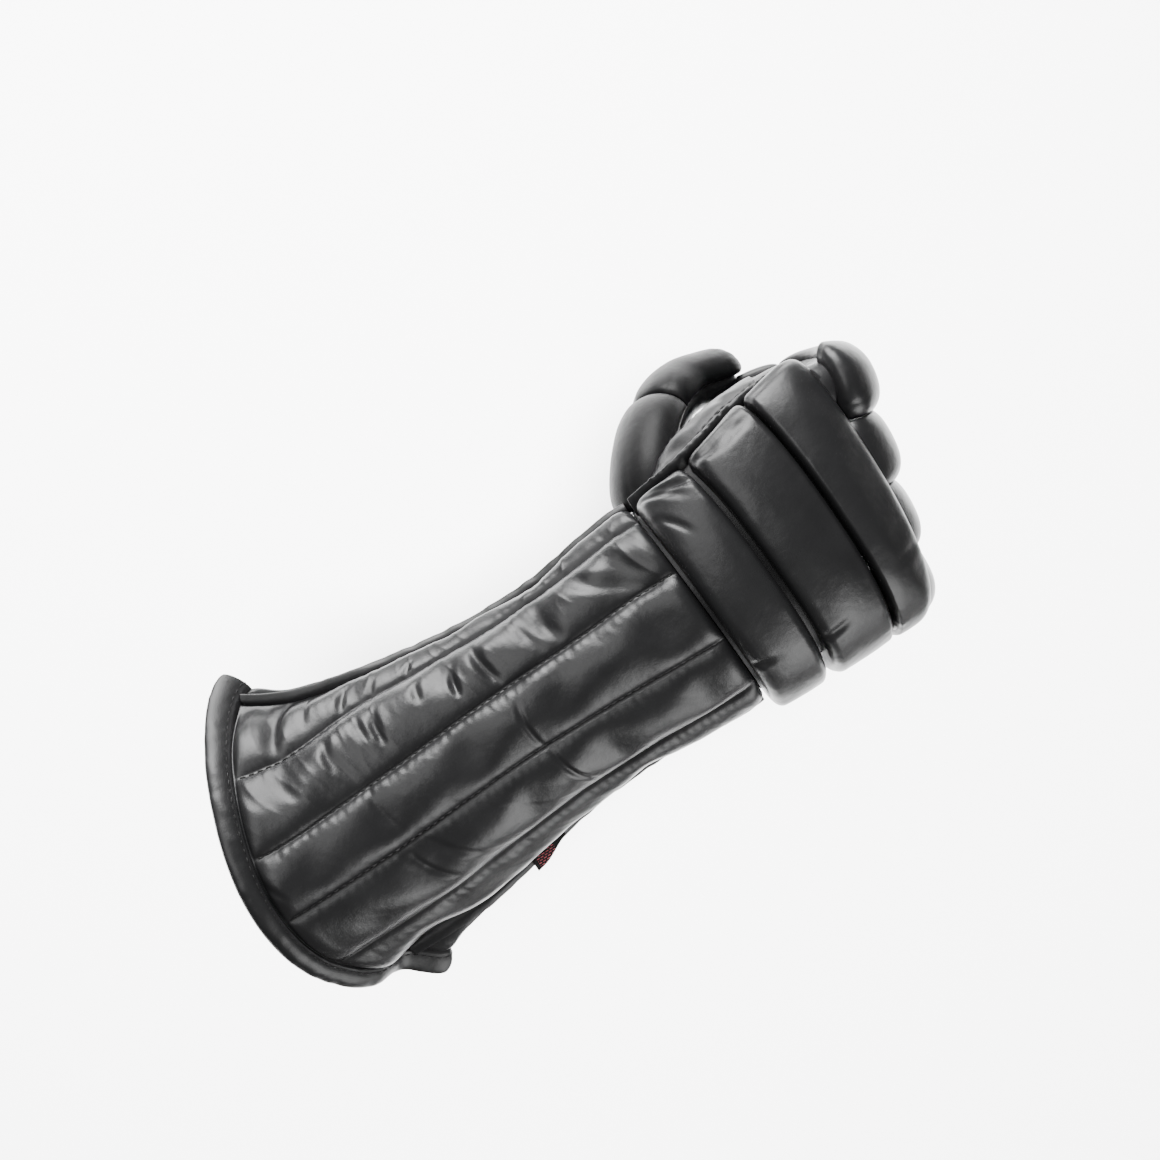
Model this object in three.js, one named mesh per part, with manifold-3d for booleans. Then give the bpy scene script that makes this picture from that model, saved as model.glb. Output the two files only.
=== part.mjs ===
import * as THREE from 'three';
import { mergeVertices } from 'three/addons/utils/BufferGeometryUtils.js';
import Module from 'manifold-3d';

// A padded fencing glove for the right hand, closed as round a grip, with a long quilted gauntlet.
// Millimetres. +X runs from the gauntlet's mouth to the knuckles, +Y to the thumb and +Z out of the back of
// the hand. The origin is the middle of the wrist. A turn of 0 degrees faces +Y, and 90 degrees faces +Z.

// Leather and seams
const seamGap = 0.3;
const leather = 1.6;

// Gauntlet, measured on its lining
const gauntletLength = 203;
const wristWidth = 97;
const wristRise = 29;
const wristDrop = 32;
const wristSlant = 4.4;
const mouthWidth = 158;
const mouthRise = 50;
const mouthDrop = 44;
const gauntletSway = 5;
const quiltWall = 2.6;
const quiltLoft = 5.2;
const pleatDepth = 8;

// Hem band and the two side seams
const bandWidth = 8;
const bandFlare = 3.5;
const bandClearance = 0.7;
const stripHeight = 6;
const stripThickness = 2.4;

// Hand, measured on its lining
const palmLength = 82;
const thumbSideReach = 71;
const heelSideReach = 49;
const knuckleRise = 17;
const knuckleDrop = 8;
const knuckleSlant = 0.24;

// Pads on the back of the hand, with the piping and the smooth gusset on their thumb side
const backPadLoft = 12;
const backPadEdge = 5.5;
const padSeamGap = 1.4;
const pipingRadius = 2.1;
const pipingTurn = 5;
const gussetTurn = 21;
const edgeGapTurn = 1;

// Grip that the fingers close round
const gripRadius = 15;
const gripForward = 68.3;
const gripBelow = 27;

// Fingers
const fingerWidth = 20.5;
const fingerThickness = 17;
const fingerPadLoft = 7.5;
const fingerPadEdge = 1.6;
const fingerPadTurn = 76;
const knuckleBend = 15;
const knuckleLift = 35;
const fingerRoot = 21;

// Thumb
const thumbWidth = 24;
const thumbThickness = 19;
const thumbPadLoft = 6.5;
const thumbPadTurn = 84;
const thumbReach = 84;

// Tag in the heel-side seam
const tagLength = 20;
const tagHeight = 9;
const tagThickness = 0.9;
const tagAlong = 0.62;

const blackLeather = { color: 0x2b2b2b, roughness: 0.42, metalness: 0 };
const bandLeather = { color: 0x262626, roughness: 0.5, metalness: 0 };
const palmLeather = { color: 0x303030, roughness: 0.6, metalness: 0 };
const wovenTag = { color: 0x1c1a1a, roughness: 0.85, metalness: 0 };

// Gauntlet sections from the wrist to the hem. Width, rise and drop are shares of the way from the wrist's
// size to the mouth's, sway a share of gauntletSway, and lens how pointed the sides are.
const gauntletSections = [
  { along: 0.0, width: 0.0, rise: 0.0, drop: 0.0, sway: 0.2, lens: 0.0 },
  { along: 0.1, width: -0.03, rise: -0.06, drop: -0.03, sway: 0.4, lens: 0.0 },
  { along: 0.3, width: -0.16, rise: -0.02, drop: 0.02, sway: 0.8, lens: 0.05 },
  { along: 0.5, width: -0.1, rise: 0.14, drop: 0.16, sway: 1.1, lens: 0.12 },
  { along: 0.7, width: 0.125, rise: 0.42, drop: 0.42, sway: 1.35, lens: 0.25 },
  { along: 0.85, width: 0.36, rise: 0.7, drop: 0.7, sway: 1.2, lens: 0.45 },
  { along: 0.93, width: 0.61, rise: 0.86, drop: 0.86, sway: 0.9, lens: 0.65 },
  { along: 1.0, width: 1.0, rise: 1.0, drop: 1.0, sway: 0.3, lens: 0.8 },
];

// Turns in degrees of the back panel's sewn lines: its two side seams and the lines between its channels.
const backLines = [
  { along: 0.0, thumb: -3, first: 25, second: 65, third: 106, fourth: 142, heel: 182 },
  { along: 0.4, thumb: -5, first: 21, second: 63, third: 101, fourth: 143, heel: 182 },
  { along: 0.7, thumb: -1, first: 29, second: 69, third: 100, fourth: 137, heel: 178 },
  { along: 0.85, thumb: 6, first: 41, second: 73, third: 99.5, fourth: 131, heel: 169 },
  { along: 1.0, thumb: 15, first: 52, second: 78, third: 99.5, fourth: 123, heel: 156 },
];

// The same for the underside's panel. Its outer channels end at the hem's two corners.
const palmLines = [
  { along: 0.0, first: 225, second: 270, third: 315 },
  { along: 0.5, first: 222, second: 270, third: 318 },
  { along: 0.88, first: 182, second: 270, third: 358 },
  { along: 1.0, first: 180, second: 270, third: 360 },
];

// How far the hem reaches from the wrist, as a share of gauntletLength, round the mouth.
const hemReach = [
  { turn: 0, reach: 0.98 },
  { turn: 25, reach: 1.04 },
  { turn: 55, reach: 1.1 },
  { turn: 90, reach: 1.145 },
  { turn: 120, reach: 1.13 },
  { turn: 150, reach: 1.04 },
  { turn: 180, reach: 0.93 },
  { turn: 225, reach: 0.95 },
  { turn: 270, reach: 0.99 },
  { turn: 315, reach: 0.99 },
  { turn: 360, reach: 0.98 },
];

// The deepest folds pressed across the gauntlet's back. Along and across are places on the panel, slant the
// degrees that a fold leans to the hem, and length, width and depth are millimetres.
const backFolds = [
  { along: 0.82, across: 0.11, slant: 20, length: 24, width: 4, depth: 2.6 },
  { along: 0.6, across: 0.1, slant: 35, length: 20, width: 4, depth: 1.8 },
  { along: 0.37, across: 0.12, slant: -20, length: 20, width: 4, depth: 1.8 },
  { along: 0.13, across: 0.1, slant: -25, length: 22, width: 4, depth: 2.2 },
];

// Hand sections, by shares of palmLength. Thumb and heel are shares of the way from the wrist's half width to
// the two side reaches, top and bottom of the way from the wrist's rise and drop to the knuckles'.
const handSections = [
  { along: 0.0, thumb: 0.0, heel: 0.0, top: 0.0, bottom: 0.0 },
  { along: 0.15, thumb: 0.36, heel: 0.3, top: -0.05, bottom: 0.04 },
  { along: 0.36, thumb: 0.82, heel: 0.6, top: -0.1, bottom: 0.26 },
  { along: 0.6, thumb: 1.0, heel: 1.0, top: 0.0, bottom: 0.72 },
  { along: 0.85, thumb: 1.02, heel: 1.0, top: 0.25, bottom: 0.94 },
  { along: 1.0, thumb: 1.0, heel: 0.8, top: 0.55, bottom: 1.0 },
  { along: 1.25, thumb: 0.9, heel: 0.5, top: 1.3, bottom: 1.0 },
];

// Where the seams between the back pads cross the thumb side, the crown and the heel side of the hand, as
// shares of palmLength, and the turn in degrees at which the pads end on the thumb side.
const padSeams = [
  { thumb: 0.005, crown: 0.01, heel: 0.005, edge: 16 },
  { thumb: 0.32, crown: 0.42, heel: 0.37, edge: 33 },
  { thumb: 0.74, crown: 0.87, heel: 0.79, edge: 27 },
  { thumb: 1.13, crown: 1.2, heel: 1.0, edge: 16 },
];
const padHeelTurn = 198;

// Fingers across the knuckles. Side is the middle of each, a share of thumbSideReach, wide a share of
// fingerWidth, and curl the turn in degrees round the grip.
const fingers = [
  { name: 'index', side: 0.8, wide: 1.04, curl: 118 },
  { name: 'middle', side: 0.345, wide: 1.06, curl: 134 },
  { name: 'ring', side: -0.105, wide: 1.04, curl: 136 },
  { name: 'little', side: -0.53, wide: 0.96, curl: 124 },
];

// Pads along a finger and along the thumb, as shares of its length, with the loft as a share of the named one.
const fingerPads = [
  { name: 'knuckle', from: 0.18, to: 0.48, loft: 1.0 },
  { name: 'middle', from: 0.48, to: 0.75, loft: 0.9 },
  { name: 'tip', from: 0.75, to: 1.0, loft: 0.75 },
];
const thumbPads = [
  { name: 'base', from: 0.1, to: 0.56, loft: 1.0 },
  { name: 'tip', from: 0.56, to: 1.0, loft: 1.0 },
];

// Middle line of the thumb, as shares of thumbReach, measured from the middle of the wrist.
const thumbLine = [
  { forward: -0.02, side: 0.4, up: -0.1 },
  { forward: 0.16, side: 0.7, up: -0.18 },
  { forward: 0.36, side: 0.88, up: -0.38 },
  { forward: 0.6, side: 0.94, up: -0.62 },
  { forward: 0.8, side: 0.9, up: -0.72 },
];

const wasm = await Module();
wasm.setup();

const radians = THREE.MathUtils.degToRad;
const mix = THREE.MathUtils.lerp;
const clamp = THREE.MathUtils.clamp;
const steps = (from, to, count) => Array.from({ length: count + 1 }, (_, i) => mix(from, to, i / count));

// The value of one column at a place in a table, on a smooth curve through the rows.
function read(rows, place, at, column) {
  const last = rows.length - 1;
  let i = 0;
  while (i < last - 1 && at > rows[i + 1][place]) i += 1;
  const slope = (k) => {
    const before = rows[Math.max(k - 1, 0)];
    const after = rows[Math.min(k + 1, last)];
    return (after[column] - before[column]) / (after[place] - before[place]);
  };
  const [a, b] = [rows[i], rows[i + 1]];
  const step = b[place] - a[place];
  const t = clamp((at - a[place]) / step, 0, 1);
  const ease = t * t * (3 - 2 * t);
  const leave = t * (1 - t) * (1 - t) * step * slope(i);
  const arrive = t * t * (1 - t) * step * slope(i + 1);
  return mix(a[column], b[column], ease) + leave - arrive;
}

// Rises as a quarter round from 0 at both ends of 0 to 1 to the value 1, within `edge` of each end.
function pillow(share, edge) {
  const near = clamp(Math.min(share, 1 - share) / edge, 0, 1);
  return Math.sqrt(1 - (1 - near) ** 2);
}

// A point of the gauntlet: along is 0 at the wrist and 1 at the hem, and out is measured from the lining.
function gauntletPoint(along, turn, out) {
  const value = (column) => read(gauntletSections, 'along', along, column);
  const angle = radians(turn);
  const upper = Math.sin(angle) >= 0;
  const half = mix(wristWidth, mouthWidth, value('width')) / 2 + out;
  const rise = mix(wristRise, mouthRise, value('rise')) + out;
  const drop = mix(wristDrop, mouthDrop, value('drop')) + out;
  const steep = Math.abs(Math.sin(angle));
  const reach = gauntletLength * read(hemReach, 'turn', ((turn % 360) + 360) % 360, 'reach');
  const slant = wristSlant * Math.cos(angle) * (1 - clamp(along, 0, 1)) ** 2;
  const pleatTurn = (turn - 158) / 11;
  const pleat = pleatDepth * THREE.MathUtils.smoothstep(along, 0.72, 1) * Math.exp(-(pleatTurn ** 2));
  return new THREE.Vector3(
    -seamGap / 2 - along * reach - slant,
    (half - pleat) * Math.cos(angle) - gauntletSway * value('sway'),
    (upper ? rise : -drop) * steep * mix(1, steep, value('lens')) - pleat * Math.sin(angle),
  );
}

// A point of the hand: along is 0 at the wrist and 1 at the knuckles, and out is measured from the lining.
function handPoint(along, turn, out) {
  const value = (column) => read(handSections, 'along', along, column);
  const angle = radians(turn);
  const [across, up] = [Math.cos(angle), Math.sin(angle)];
  const thumbSide = mix(wristWidth / 2, thumbSideReach, value('thumb')) + out;
  const heelSide = mix(wristWidth / 2, heelSideReach, value('heel')) + out;
  const top = mix(wristRise, knuckleRise, value('top')) + out;
  const bottom = mix(wristDrop, knuckleDrop, value('bottom')) + out;
  const slant = wristSlant * across * (1 - clamp(along, 0, 1)) ** 2;
  return new THREE.Vector3(
    seamGap / 2 + along * palmLength - slant,
    across * (across >= 0 ? thumbSide : heelSide) - gauntletSway * 0.2 * (1 - clamp(along, 0, 1)),
    Math.sign(up) * Math.abs(up) ** mix(1, 0.85, clamp(2 * along, 0, 1)) * (up >= 0 ? top : bottom),
  );
}

// A tube along a curve, with a round tip past the curve's end. Along is in millimetres, and a turn of 90
// degrees faces the way that outward gives.
function tubeAlong(curve, width, thickness, outward, taper) {
  const length = curve.getLength();
  const tipReach = thickness / 2;
  const point = (along, turn, out) => {
    const share = clamp(along / length, 0, 1);
    const tangent = curve.getTangentAt(share).normalize();
    const up = outward(share).clone();
    up.addScaledVector(tangent, -up.dot(tangent)).normalize();
    const side = new THREE.Vector3().crossVectors(up, tangent);
    const size = 1 - taper * share ** 3;
    const past = clamp((along - length) / tipReach, 0, 0.97) * (Math.PI / 2);
    const angle = radians(turn);
    return curve
      .getPointAt(share)
      .addScaledVector(tangent, (tipReach * size + out) * Math.sin(past))
      .addScaledVector(side, ((width / 2) * size + out) * Math.cos(past) * Math.cos(angle))
      .addScaledVector(up, (tipReach * size + out) * Math.cos(past) * Math.sin(angle));
  };
  return { length, tipReach, point };
}

// A closed solid from points and triangles, turned so that its faces point out.
function solidFrom(points, triangles) {
  const geometry = new THREE.BufferGeometry().setFromPoints(points);
  geometry.setIndex(triangles.flat());
  const merged = mergeVertices(geometry, 1e-4);
  const triVerts = new Uint32Array(merged.index.array);
  const vertProperties = merged.attributes.position.array;
  const solid = new wasm.Manifold(new wasm.Mesh({ numProp: 3, vertProperties, triVerts }));
  if (solid.volume() > 0) return solid;
  for (let i = 0; i < triVerts.length; i += 3) {
    [triVerts[i + 1], triVerts[i + 2]] = [triVerts[i + 2], triVerts[i + 1]];
  }
  return new wasm.Manifold(new wasm.Mesh({ numProp: 3, vertProperties, triVerts }));
}

// A panel on a surface: the solid between the heights under and over. Columns are its grid lines across the
// surface, from 0 to 1, rows those along it, and from and to say where each column starts and ends.
function panel(point, { columns, rows, from, to, under, over }) {
  const points = [];
  for (const height of [under, over]) {
    for (const across of columns) {
      for (const share of rows) {
        const along = mix(from(across), to(across), share);
        points.push(point(along, across, height(share, across, along)));
      }
    }
  }
  const id = (layer, c, r) => (layer * columns.length + c) * rows.length + r;
  const triangles = [];
  const quad = (a, b, c, d) => triangles.push([a, b, c], [a, c, d]);
  const [lastColumn, lastRow] = [columns.length - 1, rows.length - 1];
  for (let c = 0; c < lastColumn; c += 1) {
    for (let r = 0; r < lastRow; r += 1) {
      quad(id(0, c, r + 1), id(0, c + 1, r + 1), id(0, c + 1, r), id(0, c, r));
      quad(id(1, c, r), id(1, c + 1, r), id(1, c + 1, r + 1), id(1, c, r + 1));
    }
    quad(id(0, c, 0), id(0, c + 1, 0), id(1, c + 1, 0), id(1, c, 0));
    quad(id(0, c, lastRow), id(1, c, lastRow), id(1, c + 1, lastRow), id(0, c + 1, lastRow));
  }
  for (let r = 0; r < lastRow; r += 1) {
    quad(id(0, 0, r), id(1, 0, r), id(1, 0, r + 1), id(0, 0, r + 1));
    quad(id(0, lastColumn, r), id(0, lastColumn, r + 1), id(1, lastColumn, r + 1), id(1, lastColumn, r));
  }
  return solidFrom(points, triangles);
}

// Rings of points joined into a closed solid. With loop the last ring meets the first one, and otherwise the
// two ends are flat.
function skin(rings, loop) {
  const sides = rings[0].length;
  const points = rings.flat();
  const triangles = [];
  const spans = loop ? rings.length : rings.length - 1;
  for (let r = 0; r < spans; r += 1) {
    const next = (r + 1) % rings.length;
    for (let k = 0; k < sides; k += 1) {
      const [a, b] = [r * sides + k, r * sides + ((k + 1) % sides)];
      const [c, d] = [next * sides + k, next * sides + ((k + 1) % sides)];
      triangles.push([a, b, d], [a, d, c]);
    }
  }
  if (loop) return solidFrom(points, triangles);
  for (const r of [0, rings.length - 1]) {
    const centre = points.length;
    points.push(rings[r].reduce((total, p) => total.add(p), new THREE.Vector3()).divideScalar(sides));
    for (let k = 0; k < sides; k += 1) {
      const [a, b] = [r * sides + k, r * sides + ((k + 1) % sides)];
      triangles.push(r === 0 ? [centre, b, a] : [centre, a, b]);
    }
  }
  return solidFrom(points, triangles);
}

// The solid inside a surface, between the first and the last of the places along it.
function plug(point, alongs, sides, out) {
  const turns = steps(360, 0, sides).slice(0, sides);
  return skin(alongs.map((along) => turns.map((turn) => point(along(turn), turn, out))), false);
}

function cutBy(solid, cutters) {
  return cutters.reduce((left, cutter) => left.subtract(cutter), solid);
}

const root = new THREE.Group();

// Adds the biggest body of a solid, so that no crumb of a cut is left beside it.
function addPiece(name, solid, finish) {
  const [body] = solid.decompose().sort((a, b) => b.volume() - a.volume());
  const mesh = body.getMesh();
  const geometry = new THREE.BufferGeometry();
  geometry.setAttribute('position', new THREE.BufferAttribute(new Float32Array(mesh.vertProperties), 3));
  geometry.setIndex(new THREE.BufferAttribute(new Uint32Array(mesh.triVerts), 1));
  geometry.computeVertexNormals();
  const piece = new THREE.Mesh(geometry, new THREE.MeshStandardMaterial(finish));
  piece.name = name;
  root.add(piece);
}

// Side strips, upright along each side where the two gauntlet panels are sewn together
const seamTurn = (along, onThumbSide) => read(backLines, 'along', along, onThumbSide ? 'thumb' : 'heel');
const bandStart = 1 - bandWidth / gauntletLength;

// The surface beside a side seam: across is 0 on the seam, and side is in millimetres round the gauntlet.
function besideSeam(onThumbSide) {
  return (along, side, out) => {
    const turn = seamTurn(along, onThumbSide);
    const onSeam = gauntletPoint(along, turn, out);
    const beside = gauntletPoint(along, turn + 1, out);
    return onSeam.addScaledVector(beside.sub(onSeam).normalize(), side);
  };
}

function seamStrip(onThumbSide, grow) {
  const half = stripThickness / 2 + grow;
  const place = besideSeam(onThumbSide);
  const top = quiltWall + stripHeight;
  return panel((along, across, out) => place(along, mix(-half, half, across), out), {
    columns: [0, 0.5, 1],
    rows: steps(0, 1, 6),
    from: () => (2 * seamGap - grow) / gauntletLength,
    to: () => bandStart - (2 * seamGap - grow) / gauntletLength,
    under: () => (grow > 0 ? -leather : 0),
    over: (share, across) => {
      return quiltWall + grow + stripHeight * (across === 0.5 ? 1 : 0.75) * pillow(mix(0.02, 0.98, share), 0.08);
    },
  });
}

// Gauntlet: two quilted panels
function foldDepth(along, across) {
  const depths = backFolds.map((fold) => {
    const forward = (along - fold.along) * gauntletLength;
    const sideways = ((across - fold.across) * Math.PI * wristWidth) / 2;
    const lean = radians(fold.slant);
    const offLine = forward * Math.cos(lean) - sideways * Math.sin(lean);
    const onLine = forward * Math.sin(lean) + sideways * Math.cos(lean);
    const [wide, long] = [offLine / fold.width, (2 * onLine) / fold.length];
    return fold.depth * Math.exp(-(wide ** 2) - long ** 4);
  });
  return Math.max(...depths);
}

// Turns of a panel's sewn lines at a place along it, from seam to seam.
function sewnTurns(onBack, along) {
  const between = onBack ? ['first', 'second', 'third', 'fourth'] : ['first', 'second', 'third'];
  const inner = between.map((line) => read(onBack ? backLines : palmLines, 'along', along, line));
  const [start, end] = [seamTurn(along, onBack), seamTurn(along, !onBack)];
  return [start, ...inner, onBack ? end : end + 360];
}

// Across is 0 and 1 at the panel's seams, and passes each sewn line at an equal share between them.
function panelTurn(onBack, along, across) {
  const turns = sewnTurns(onBack, along);
  const place = clamp(across, 0, 1) * (turns.length - 1);
  const channel = Math.min(Math.floor(place), turns.length - 2);
  return mix(turns[channel], turns[channel + 1], place - channel);
}
const channelCount = (onBack) => sewnTurns(onBack, 0).length - 1;
const channelColumns = (onBack) => {
  const inChannel = [0, 0.15, 0.5, 0.85];
  const channels = channelCount(onBack);
  return steps(0, channels - 1, channels - 1).flatMap((c) => inChannel.map((s) => (c + s) / channels));
};

function quiltedPanel(onBack) {
  const channels = channelCount(onBack);
  const slot = seamGap / (Math.PI * wristWidth);
  const folds = onBack ? backFolds.map((fold) => fold.along) : [0.6, 0.37];
  const rows = [0, 0.05, 0.25, 0.72, 0.9, bandStart, 1, ...folds];
  const whole = panel((along, across, out) => gauntletPoint(along, panelTurn(onBack, along, across), out), {
    columns: [...channelColumns(onBack), 1].map((across) => mix(slot, 1 - slot, across)),
    rows: rows.sort((a, b) => a - b),
    from: () => 0,
    to: () => 1,
    under: () => 0,
    over: (share, across) => {
      const puff = pillow((across * channels) % 1, 0.5) * pillow(share / bandStart, 0.05);
      return quiltWall + puff * (quiltLoft - (onBack ? foldDepth(share, across) : 0));
    },
  });
  return cutBy(whole, [seamStrip(true, seamGap), seamStrip(false, seamGap)]);
}

// A band folded over the hem, standing out most at the two ears where the sides are seamed
function hemBand() {
  const places = [true, false].flatMap((onBack) => channelColumns(onBack).map((across) => [onBack, across]));
  const edge = 1 + bandClearance / gauntletLength;
  const rings = places.map(([onBack, across]) => {
    const ear = Math.abs(Math.cos(radians(panelTurn(onBack, 1, across)))) ** 14;
    const flare = bandFlare * mix(0.35, 1, ear);
    const rim = edge + (leather + bandFlare * ear) / gauntletLength;
    const [inner, outer] = [-bandClearance, quiltWall + bandClearance];
    const profile = [
      [bandStart, outer],
      [edge, outer],
      [edge, inner],
      [bandStart, inner],
      [bandStart, inner - leather],
      [rim, inner - leather],
      [rim, outer + leather + flare / 2],
      [mix(bandStart, rim, 0.55), outer + leather + flare / 3],
      [bandStart, outer + leather],
    ];
    return profile.map(([along, out]) => gauntletPoint(along, panelTurn(onBack, along, across), out));
  });
  return skin(rings, true);
}

// A folded tag held in the heel-side seam, lying against the strip
function sideTag() {
  const half = tagLength / gauntletLength / 2;
  const place = besideSeam(false);
  const lift = stripThickness / 2 + seamGap;
  return panel((along, across, out) => place(along, -lift - across * tagThickness, out), {
    columns: [0, 1],
    rows: [0, 1],
    from: () => tagAlong - half,
    to: () => tagAlong + half,
    under: () => quiltWall + tagHeight * 0.4,
    over: () => quiltWall + tagHeight,
  });
}

const gauntletBack = quiltedPanel(true);
const gauntletPalm = quiltedPanel(false);
addPiece('gauntlet_back', gauntletBack, blackLeather);
addPiece('gauntlet_palm', gauntletPalm, blackLeather);
addPiece('hem_band', hemBand(), bandLeather);
addPiece('seam_strip_thumb_side', seamStrip(true, 0), bandLeather);
addPiece('seam_strip_heel_side', seamStrip(false, 0), bandLeather);
addPiece('side_tag', sideTag(), wovenTag);

// Fingers: each goes forward out of the hand, down over its knuckle and round the grip
const sideways = new THREE.Vector3(knuckleSlant, 1, 0).normalize();

function makeFinger(finger) {
  const wrap = gripRadius + seamGap + leather + fingerThickness / 2;
  const y = finger.side * thumbSideReach;
  const centre = new THREE.Vector3(gripForward + knuckleSlant * y, y, -gripBelow);
  const forward = new THREE.Vector3(1, -knuckleSlant, 0).normalize();
  const place = (ahead, above) => {
    return centre.clone().addScaledVector(forward, ahead).add(new THREE.Vector3(0, 0, above));
  };
  const overKnuckle = steps(90, 0, 5).map((turn) => {
    const [ahead, above] = [Math.cos(radians(turn)), Math.sin(radians(turn))];
    return place(wrap + knuckleBend * (ahead - 1), knuckleLift + knuckleBend * (above - 1));
  });
  const roundGrip = steps(0, -finger.curl, 9).map((turn) => {
    return place(wrap * Math.cos(radians(turn)), wrap * Math.sin(radians(turn)));
  });
  const start = place(wrap - knuckleBend - fingerRoot, knuckleLift);
  const curve = new THREE.CatmullRomCurve3([start, ...overKnuckle, ...roundGrip]);
  const outward = (share) => {
    const away = curve.getPointAt(share).sub(centre).setY(0);
    return share < 0.15 ? new THREE.Vector3(0, 0, 1) : away;
  };
  const tube = tubeAlong(curve, fingerWidth * finger.wide, fingerThickness, outward, 0.12);
  return { ...finger, ...tube, middle: centre.dot(sideways) };
}

// Places along a tube for its rings: each of its pads' grid rows lies on one.
const padRows = [0, 0.2, 0.5, 0.8, 1];
const padReach = (tube) => tube.length + tube.tipReach * 0.9;

function tubeRings(tube, pads) {
  const underPads = pads.flatMap((pad) => padRows.slice(1).map((share) => mix(pad.from, pad.to, share)));
  const shares = [0, pads[0].from / 2, pads[0].from, ...underPads];
  return shares.map((share) => () => share * padReach(tube));
}

const fingerTubes = fingers.map(makeFinger);
const fingerSolid = (tube, out) => plug(tube.point, tubeRings(tube, fingerPads), 10, out);

// Thumb: from the side of the hand forward and down past the grip
const thumbCurve = new THREE.CatmullRomCurve3(
  thumbLine.map((row) => new THREE.Vector3(row.forward, row.side, row.up).multiplyScalar(thumbReach)),
);
const thumbOutward = (share) => new THREE.Vector3(mix(-0.35, 0.15, share), 0.85, mix(0.35, 0.1, share));
const thumbTube = tubeAlong(thumbCurve, thumbWidth, thumbThickness, thumbOutward, 0.16);
const thumbSolid = (out) => plug(thumbTube.point, tubeRings(thumbTube, thumbPads), 10, out);

// Hand shell: hollow, open at the wrist and into each finger and the thumb
const handFront = (turn) => 0.92 + (knuckleSlant * handPoint(1, turn, 0).y) / palmLength;

function handSolid(start, out, stopShort) {
  const middles = [0.12, 0.3, 0.5, 0.7].map((along) => () => along);
  return plug(handPoint, [() => start, ...middles, (turn) => handFront(turn) - stopShort], 20, out);
}

const clearance = leather + seamGap;
const beforeWrist = -knuckleRise / palmLength;
const openHand = handSolid(beforeWrist, 0, leather / palmLength);
const grownHand = handSolid(beforeWrist, clearance, -seamGap / palmLength);
const grownFingers = fingerTubes.map((tube) => fingerSolid(tube, clearance));
const grownThumb = thumbSolid(clearance);
const fingerBores = fingerTubes.map((tube) => fingerSolid(tube, 0));
const gauntletRings = [-seamGap / gauntletLength, 0.05, 0.15].map((along) => () => along);
const grownGauntlet = plug(gauntletPoint, gauntletRings, 26, 2 * quiltLoft);

const handWall = handSolid(0, leather, 0);
addPiece('hand_shell', cutBy(handWall, [openHand, thumbSolid(0), ...fingerBores]), palmLeather);
fingerTubes.forEach((tube, i) => {
  addPiece(`${tube.name}_stall`, cutBy(fingerSolid(tube, leather), [fingerBores[i], grownHand]), palmLeather);
});
const thumbCutters = [grownHand, grownGauntlet, ...grownFingers];
addPiece('thumb_stall', cutBy(thumbSolid(leather), [thumbSolid(0), ...thumbCutters]), palmLeather);

// Back of the hand: three pads across it, lying on the shell

// Where a pad seam lies, as a share of palmLength, on a curve through its three named places.
function seamAt(seam, across) {
  const { thumb, crown, heel } = padSeams[seam];
  const rest = 1 - across;
  return thumb * rest * (rest - across) + 4 * crown * across * rest + heel * across * (across - rest);
}

const padEdgeTurn = (along) => read(padSeams, 'thumb', along, 'edge');

function backPad(seam, grow) {
  const slot = (padSeamGap / 2 - grow) / palmLength;
  const growAcross = grow / wristWidth;
  const point = (along, across, out) => {
    return handPoint(along, mix(padEdgeTurn(along), padHeelTurn, across), out);
  };
  const inner = [0.03, 0.1, 0.22, 0.36, 0.5, 0.64, 0.78, 0.9, 0.97];
  return panel(point, {
    columns: [-growAcross, ...inner, 1 + growAcross],
    rows: [0, 0.08, 0.28, 0.72, 0.92, 1],
    from: (across) => seamAt(seam, across) + slot,
    to: (across) => seamAt(seam + 1, across) - slot,
    under: () => leather / 2 - grow,
    over: (share, across) => {
      const puff = pillow(share, 0.3) * pillow(across, 0.12);
      return clearance + grow + mix(backPadEdge, backPadLoft, puff);
    },
  });
}

['wrist', 'middle', 'knuckle'].forEach((name, seam) => {
  const pad = cutBy(backPad(seam, 0), [grownHand, grownThumb, ...grownFingers]);
  addPiece(`back_pad_${name}`, pad, blackLeather);
});

// A strip along the pads' thumb-side edge, between two turns in degrees below that edge
function edgeStrip(fromTurn, toTurn, columns, from, to, over) {
  const point = (along, across, out) => {
    return handPoint(along, padEdgeTurn(along) - mix(fromTurn, toTurn, across), out);
  };
  return panel(point, {
    columns,
    rows: steps(0, 1, 7),
    from: () => from,
    to: () => to,
    under: () => leather / 2,
    over: (share, across) => clearance + over(share, across),
  });
}

const pipingEnd = edgeGapTurn + pipingTurn;
const pipingHeight = (share, across) => {
  return pipingRadius * mix(1.2, 0.6, share) * mix(0.4, 1.6, pillow(across, 0.5));
};
const gussetStart = pipingEnd + edgeGapTurn;
const gussetEnd = gussetStart + gussetTurn;
const gussetColumns = [0, 0.33, 0.67, 1];
const stripCutters = [grownHand, grownThumb, ...grownFingers];
const piping = edgeStrip(edgeGapTurn, pipingEnd, [0, 0.25, 0.5, 0.75, 1], 0.01, 0.98, pipingHeight);
const gusset = edgeStrip(gussetStart, gussetEnd, gussetColumns, 0.02, 0.9, () => leather);
const grownGusset = edgeStrip(gussetStart, gussetEnd + edgeGapTurn, gussetColumns, 0.01, 0.91, () => clearance);
addPiece('pad_piping', cutBy(piping, stripCutters), bandLeather);
addPiece('thumb_gusset', cutBy(gusset, stripCutters), palmLeather);

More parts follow.
